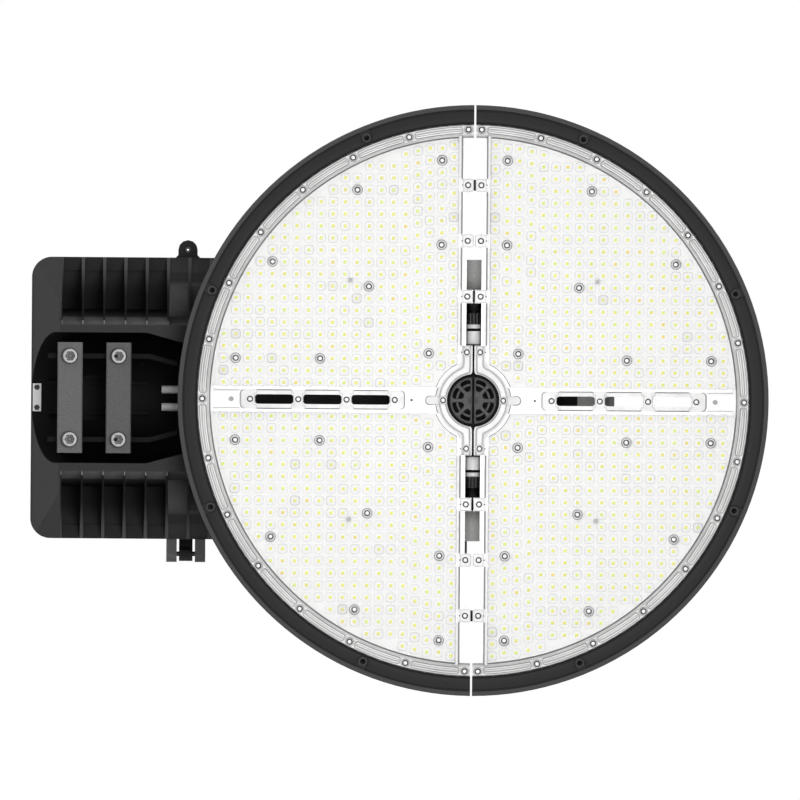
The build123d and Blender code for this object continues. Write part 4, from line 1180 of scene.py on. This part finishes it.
class MakeClampBolts(bpy.types.Operator):
    """Cap bolts of the clamp bars with lobed sockets, and black dots of painted shade on the inner
    ones
    """
    bl_idname = "mast_light.clamp_bolts"
    bl_label = "Clamp bolts"

    def execute(self, context):
        socket_r, lobe = 4.6, 0.13

        def lobes(r, angle):
            """Radius with six lobes in the socket, plain outside it."""
            return np.where(r < socket_r, r * (1 + lobe * np.cos(6 * angle)), r)

        finish = bolt_finish()
        for name in ("outer", "inner"):
            node = f"clamp_bolts_{name}"
            low, high = span(node, 2)
            top, face = high - low, span(f"clamp_bar_{name}", 2)[0] - low
            bolt = turned([(0, top), (4.9, top), (4.9, face), (7.85, face - 0.1), (7.85, 1.6),
                           (7.1, 0.2), (6.8, 0), (4.9, 0), (4.3, 0.5), (4.0, 3.5), (2.2, 3.7),
                           (1.6, 3.0), (0, 2.8)], 60, lobes, low)
            places = node_centres(node)
            places[:, 2] = 0
            make(f"cap_bolts_{name}", spread(bolt, places), finish, "bolt_steel",
                 f"{name}_clamp", replaces=(node,))
        # painted shade: a black dot beside the middle of each inner bolt's socket
        beside = [2.3, 0, 0]
        dot = turned([(0, 4), (1.7, 4), (1.7, 2.4), (1.2, 2.2), (0, 2.2)], 16, base=low)
        make("bolt_shadow_dots", spread(dot, places - beside),
             moulded("bolt_shadow_black", "#0a0a0a", 0.7), "black_screw", "inner_clamp")
        return {"FINISHED"}


def lying(shape, side):
    """Turns a shape from Z to lie along Y, outwards from the head's centre."""
    x, y, z = shape[0].T
    return np.column_stack([x, side * z, y]), shape[1]


class MakeConnectors(bpy.types.Operator):
    """Plugs at both ends of the wiring hub: barrel, rings and knurled nut"""
    bl_idname = "mast_light.connectors"
    bl_label = "Connectors"

    def execute(self, context):
        ring_start, collar_end, nut_end = [
            span(n, 1)[1] for n in ("connector_sockets", "connector_collars", "coupling_nuts")]
        nut_left, nut_right = span("coupling_nuts", 0)
        nut_r = (nut_right - nut_left) / 2
        socket_start, collar_start = HUB_END + 3.0, ring_start + 2.6
        ridges, groove = 16, 0.7

        def knurl(r, angle):
            """Radius with grooves between ridges where it is near the nut's own."""
            depth = np.where(r > nut_r - 0.6, groove, 0)
            return r - depth * (0.5 + 0.5 * np.cos(ridges * angle)) ** 2

        def barrel(radius, start, end, ease):
            return turned([(0, start), (radius - ease, start), (radius, start + ease),
                           (radius, end - ease), (radius - ease, end), (0, end)], 48)

        nut = turned([(0, collar_end), (nut_r - 0.7, collar_end), (nut_r, collar_end + 1),
                      (nut_r, nut_end - 3.0), (nut_r - 0.8, nut_end - 2.4),
                      (nut_r - 0.8, nut_end - 0.5), (nut_r - 1.3, nut_end), (0, nut_end)],
                     156, knurl)
        socket = turned([(0, socket_start), (7.3, socket_start), (7.5, socket_start + 0.3),
                         (7.5, ring_start - 2), (7.2, ring_start - 1.8), (7.2, ring_start),
                         (0, ring_start)], 48)
        seals = (barrel(7.85, HUB_END, socket_start, 0.8),
                 barrel(7.0, ring_start, collar_start, 1.2))
        collar = barrel(7.35, collar_start, collar_end, 0.5)
        for name, shapes, node, slot, finish in (
            ("knurled_nuts", (nut,), "coupling_nuts", "black_plastic", nut_finish(nut_r)),
            ("plug_barrels", (socket,), "connector_sockets", "nickel_plate",
             plated_finish("barrel_nickel", "#ffffff")),
            ("plug_seals", seals, "connector_seals", "black_rubber",
             moulded("seal_black", "#0c0c0c", 0.6)),
            ("plug_collars", (collar,), "connector_collars", "nickel_plate",
             plated_finish("collar_nickel", "#f4f4f6")),
        ):
            both = joined(*[lying(shape, side) for shape in shapes for side in (1, -1)])
            make(name, moved(both, HEAD_X, 0, PLUG_Z), finish, slot, replaces=(node,))
        return {"FINISHED"}


class FinishCastings(bpy.types.Operator):
    """Finishes of every CAD node that stays"""
    bl_idname = "mast_light.castings"
    bl_label = "Finishes"

    def execute(self, context):
        c = settings().paint
        for finish, *nodes in (
            (powder_coat("housing_coat", c.housing, housing_areas, gloss=0.1), "main_housing"),
            (powder_coat("cover_coat", c.housing, cover_areas), "driver_cover"),
            (powder_coat("engine_coat", c.rim, rim_areas), "heat_sink_left",
             "heat_sink_right", "wiring_hub"),
            (powder_coat("rail_coat", c.rails), "carrier_rail_hinge_side",
             "carrier_rail_latch_side"),
            # painted shade: the end rail is a darker copy of the rails' paint
            (powder_coat("end_rail_shaded_coat", shade(c.rails, 0.7)), "carrier_rail_end"),
            (powder_coat("joiner_coat", "#161616"), "engine_joiners"),
            # painted shade: the saddle is nearly black like the shaded vault round it
            (powder_coat("saddle_shaded_cast", "#121212", None, 0.7, gloss=0.1), "tenon_saddle"),
            (powder_coat("clamp_bar_outer_grain", c.bars, None, 0.55, 600, 0.7),
             "clamp_bar_outer"),
            # painted shade: the inner bar is a darker copy of the outer bar's paint
            (powder_coat("clamp_bar_inner_shaded_grain", shade(c.bars, 0.78), None, 0.55, 600, 0.7),
             "clamp_bar_inner"),
            (brushed("plate_bare", "#bebebe", 0.5, (50, 1, 50), 30, 0.3), "entry_plate"),
            (brushed("sleeve_bare", "#fafafa", 0.4, (1, 50, 50), 30, 0.0), "lead_sleeves"),
            (brushed("small_steel", c.bright), "saddle_bolts", "carrier_screws",
             "engine_mount_screws", "hub_screws", "driver_screws", "joiner_screws"),
            (brushed("pin_dark", "#3a3a3a", 0.4), "hinge_pins"),
            (brushed("driver_case", "#bdbdbd", 0.4, (1, 40, 40), 30), "led_driver_hinge_side",
             "led_driver_latch_side"),
            (brushed("brass_bare", "#c9a253", 0.3, scale=500), "earth_screw"),
            (latch_finish(), "latch_screw_tenon_end", "latch_screw_head_end"),
            (moulded("screw_black", "#161616"), "entry_plate_screws"),
            (moulded("rubber_black", "#151515", 0.7), "cover_gasket", "lens_seal_left",
             "lens_seal_right", "engine_leads"),
            (moulded("plastic_black", "#101010", 0.6, 0.12), "lead_boots", "lead_glands",
             "surge_protector"),
            (moulded("plastic_white", "#dededa", 0.4), "terminal_block"),
            (board_finish(), *[n for n in frame["nodes"] if n.startswith("led_board")]),
            (lens_finish(), "lens_left", "lens_right"),
        ):
            for node in nodes:
                mesh = frame["nodes"][node].data
                mesh.materials.clear()
                mesh.materials.append(finish)
        return {"FINISHED"}


class MakeStage(bpy.types.Operator):
    """Pale floor under the light, soft lamps and the camera that looks straight up"""
    bl_idname = "mast_light.stage"
    bl_label = "Studio"

    def execute(self, context):
        s, scene = settings().studio, bpy.context.scene
        scene.view_settings.view_transform = "Standard"
        middle = Vector((s.centre_x, 0, 0))

        def placed(name, data, place):
            made = bpy.data.objects.new(name, data)
            made.location = place
            scene.collection.objects.link(made)
            return made

        lens = bpy.data.cameras.new("camera")
        lens.type = "ORTHO"
        lens.ortho_scale = s.frame_width
        camera = placed("camera", lens, middle - Vector((0, 0, s.distance)))
        camera.rotation_euler = (math.pi, 0, s.roll)
        scene.camera = camera

        reach = 8.0
        mesh = bpy.data.meshes.new("floor")
        mesh.from_pydata([(x * reach, y * reach, -s.floor_drop) for x, y in
                          ((-1, -1), (1, -1), (1, 1), (-1, 1))], [], [(0, 1, 2, 3)])
        f = Finish("floor_pale", 0.0, Roughness=0.9, Emission_Strength=1.0)
        f.drive("Base Color", f.mix(f.noise(0.5), 0.84, 0.88))
        f.drive("Emission Color", f.mix(f.sight(), 0, 0.6))
        mesh.materials.append(f.material)
        floor = placed("floor", mesh, (0, 0, 0))

        world = bpy.data.worlds.new("room")
        scene.world = world
        room = Nodes(world)
        strength = room.node("ShaderNodeMix", {"data_type": "FLOAT"},
                             {0: room.sight(), 2: s.ambient, 3: 1.0})
        back = room.node("ShaderNodeBackground", {}, {"Color": 1.0, "Strength": strength})
        room.node("ShaderNodeOutputWorld", {}, {"Surface": back})

        for name, place, size, power in (      # metres from the middle, metres and watts
            ("front", (0.07, 0, -1.7), 0.5, 14.4),
            ("soft", (-0.3, -0.2, -1.6), 1.8, 1.5),
            ("side", (-1.7, -0.9, -0.9), 0.9, 4),
            ("top", (0.4, -1.0, 2.4), 2.2, 45),
            ("back", (1.8, 1.2, 0.9), 1.2, 10),
        ):
            lamp = bpy.data.lights.new(name, "AREA")
            lamp.shape = "SQUARE"
            lamp.size = size
            lamp.energy = power * s.key
            lamp.specular_factor = 0.4
            at = placed(name, lamp, middle + Vector(place))
            at.rotation_euler = (-Vector(place)).to_track_quat("-Z", "Y").to_euler()
            at.visible_camera = False
        return {"FINISHED"}


OPERATORS = (MakeStage, FinishCastings, MakeOptics, MakeLeds, MakeLensScrews, MakeRimMoulding,
             MakeVentCollar, MakeChannel, MakeSlotBezels, MakeVentGrille, MakeGuardBosses,
             MakeClampBolts, MakeConnectors)


class MastLightPanel(bpy.types.Panel):
    """Lists the light's pieces and their settings"""
    bl_idname = "VIEW3D_PT_mast_light"
    bl_label = "Mast light"
    bl_space_type = "VIEW_3D"
    bl_region_type = "UI"
    bl_category = "Mast light"

    def draw(self, context):
        for operator in OPERATORS:
            self.layout.operator(operator.bl_idname)
        for name, group in GROUPS.items():
            box = self.layout.box()
            box.label(text=group.__doc__)
            for field in group.__annotations__:
                box.prop(getattr(context.scene.mast_light, name), field)


class MastLight(bpy.types.PropertyGroup):
    """All settings of the light."""
    optics: bpy.props.PointerProperty(type=OpticSizes)
    mouldings: bpy.props.PointerProperty(type=MouldingSizes)
    castings: bpy.props.PointerProperty(type=CastingSizes)
    paint: bpy.props.PointerProperty(type=PaintColours)
    studio: bpy.props.PointerProperty(type=StudioSettings)


CLASSES = (*GROUPS.values(), MastLight, *OPERATORS, MastLightPanel)


def register():
    for cls in CLASSES:
        bpy.utils.register_class(cls)
    bpy.types.Scene.mast_light = bpy.props.PointerProperty(type=MastLight)


def unregister():
    del bpy.types.Scene.mast_light
    for cls in reversed(CLASSES):
        bpy.utils.unregister_class(cls)


def main():
    register()
    for operator in OPERATORS:
        group, name = operator.bl_idname.split(".")
        getattr(getattr(bpy.ops, group), name)()


if __name__ == "__main__":
    main()
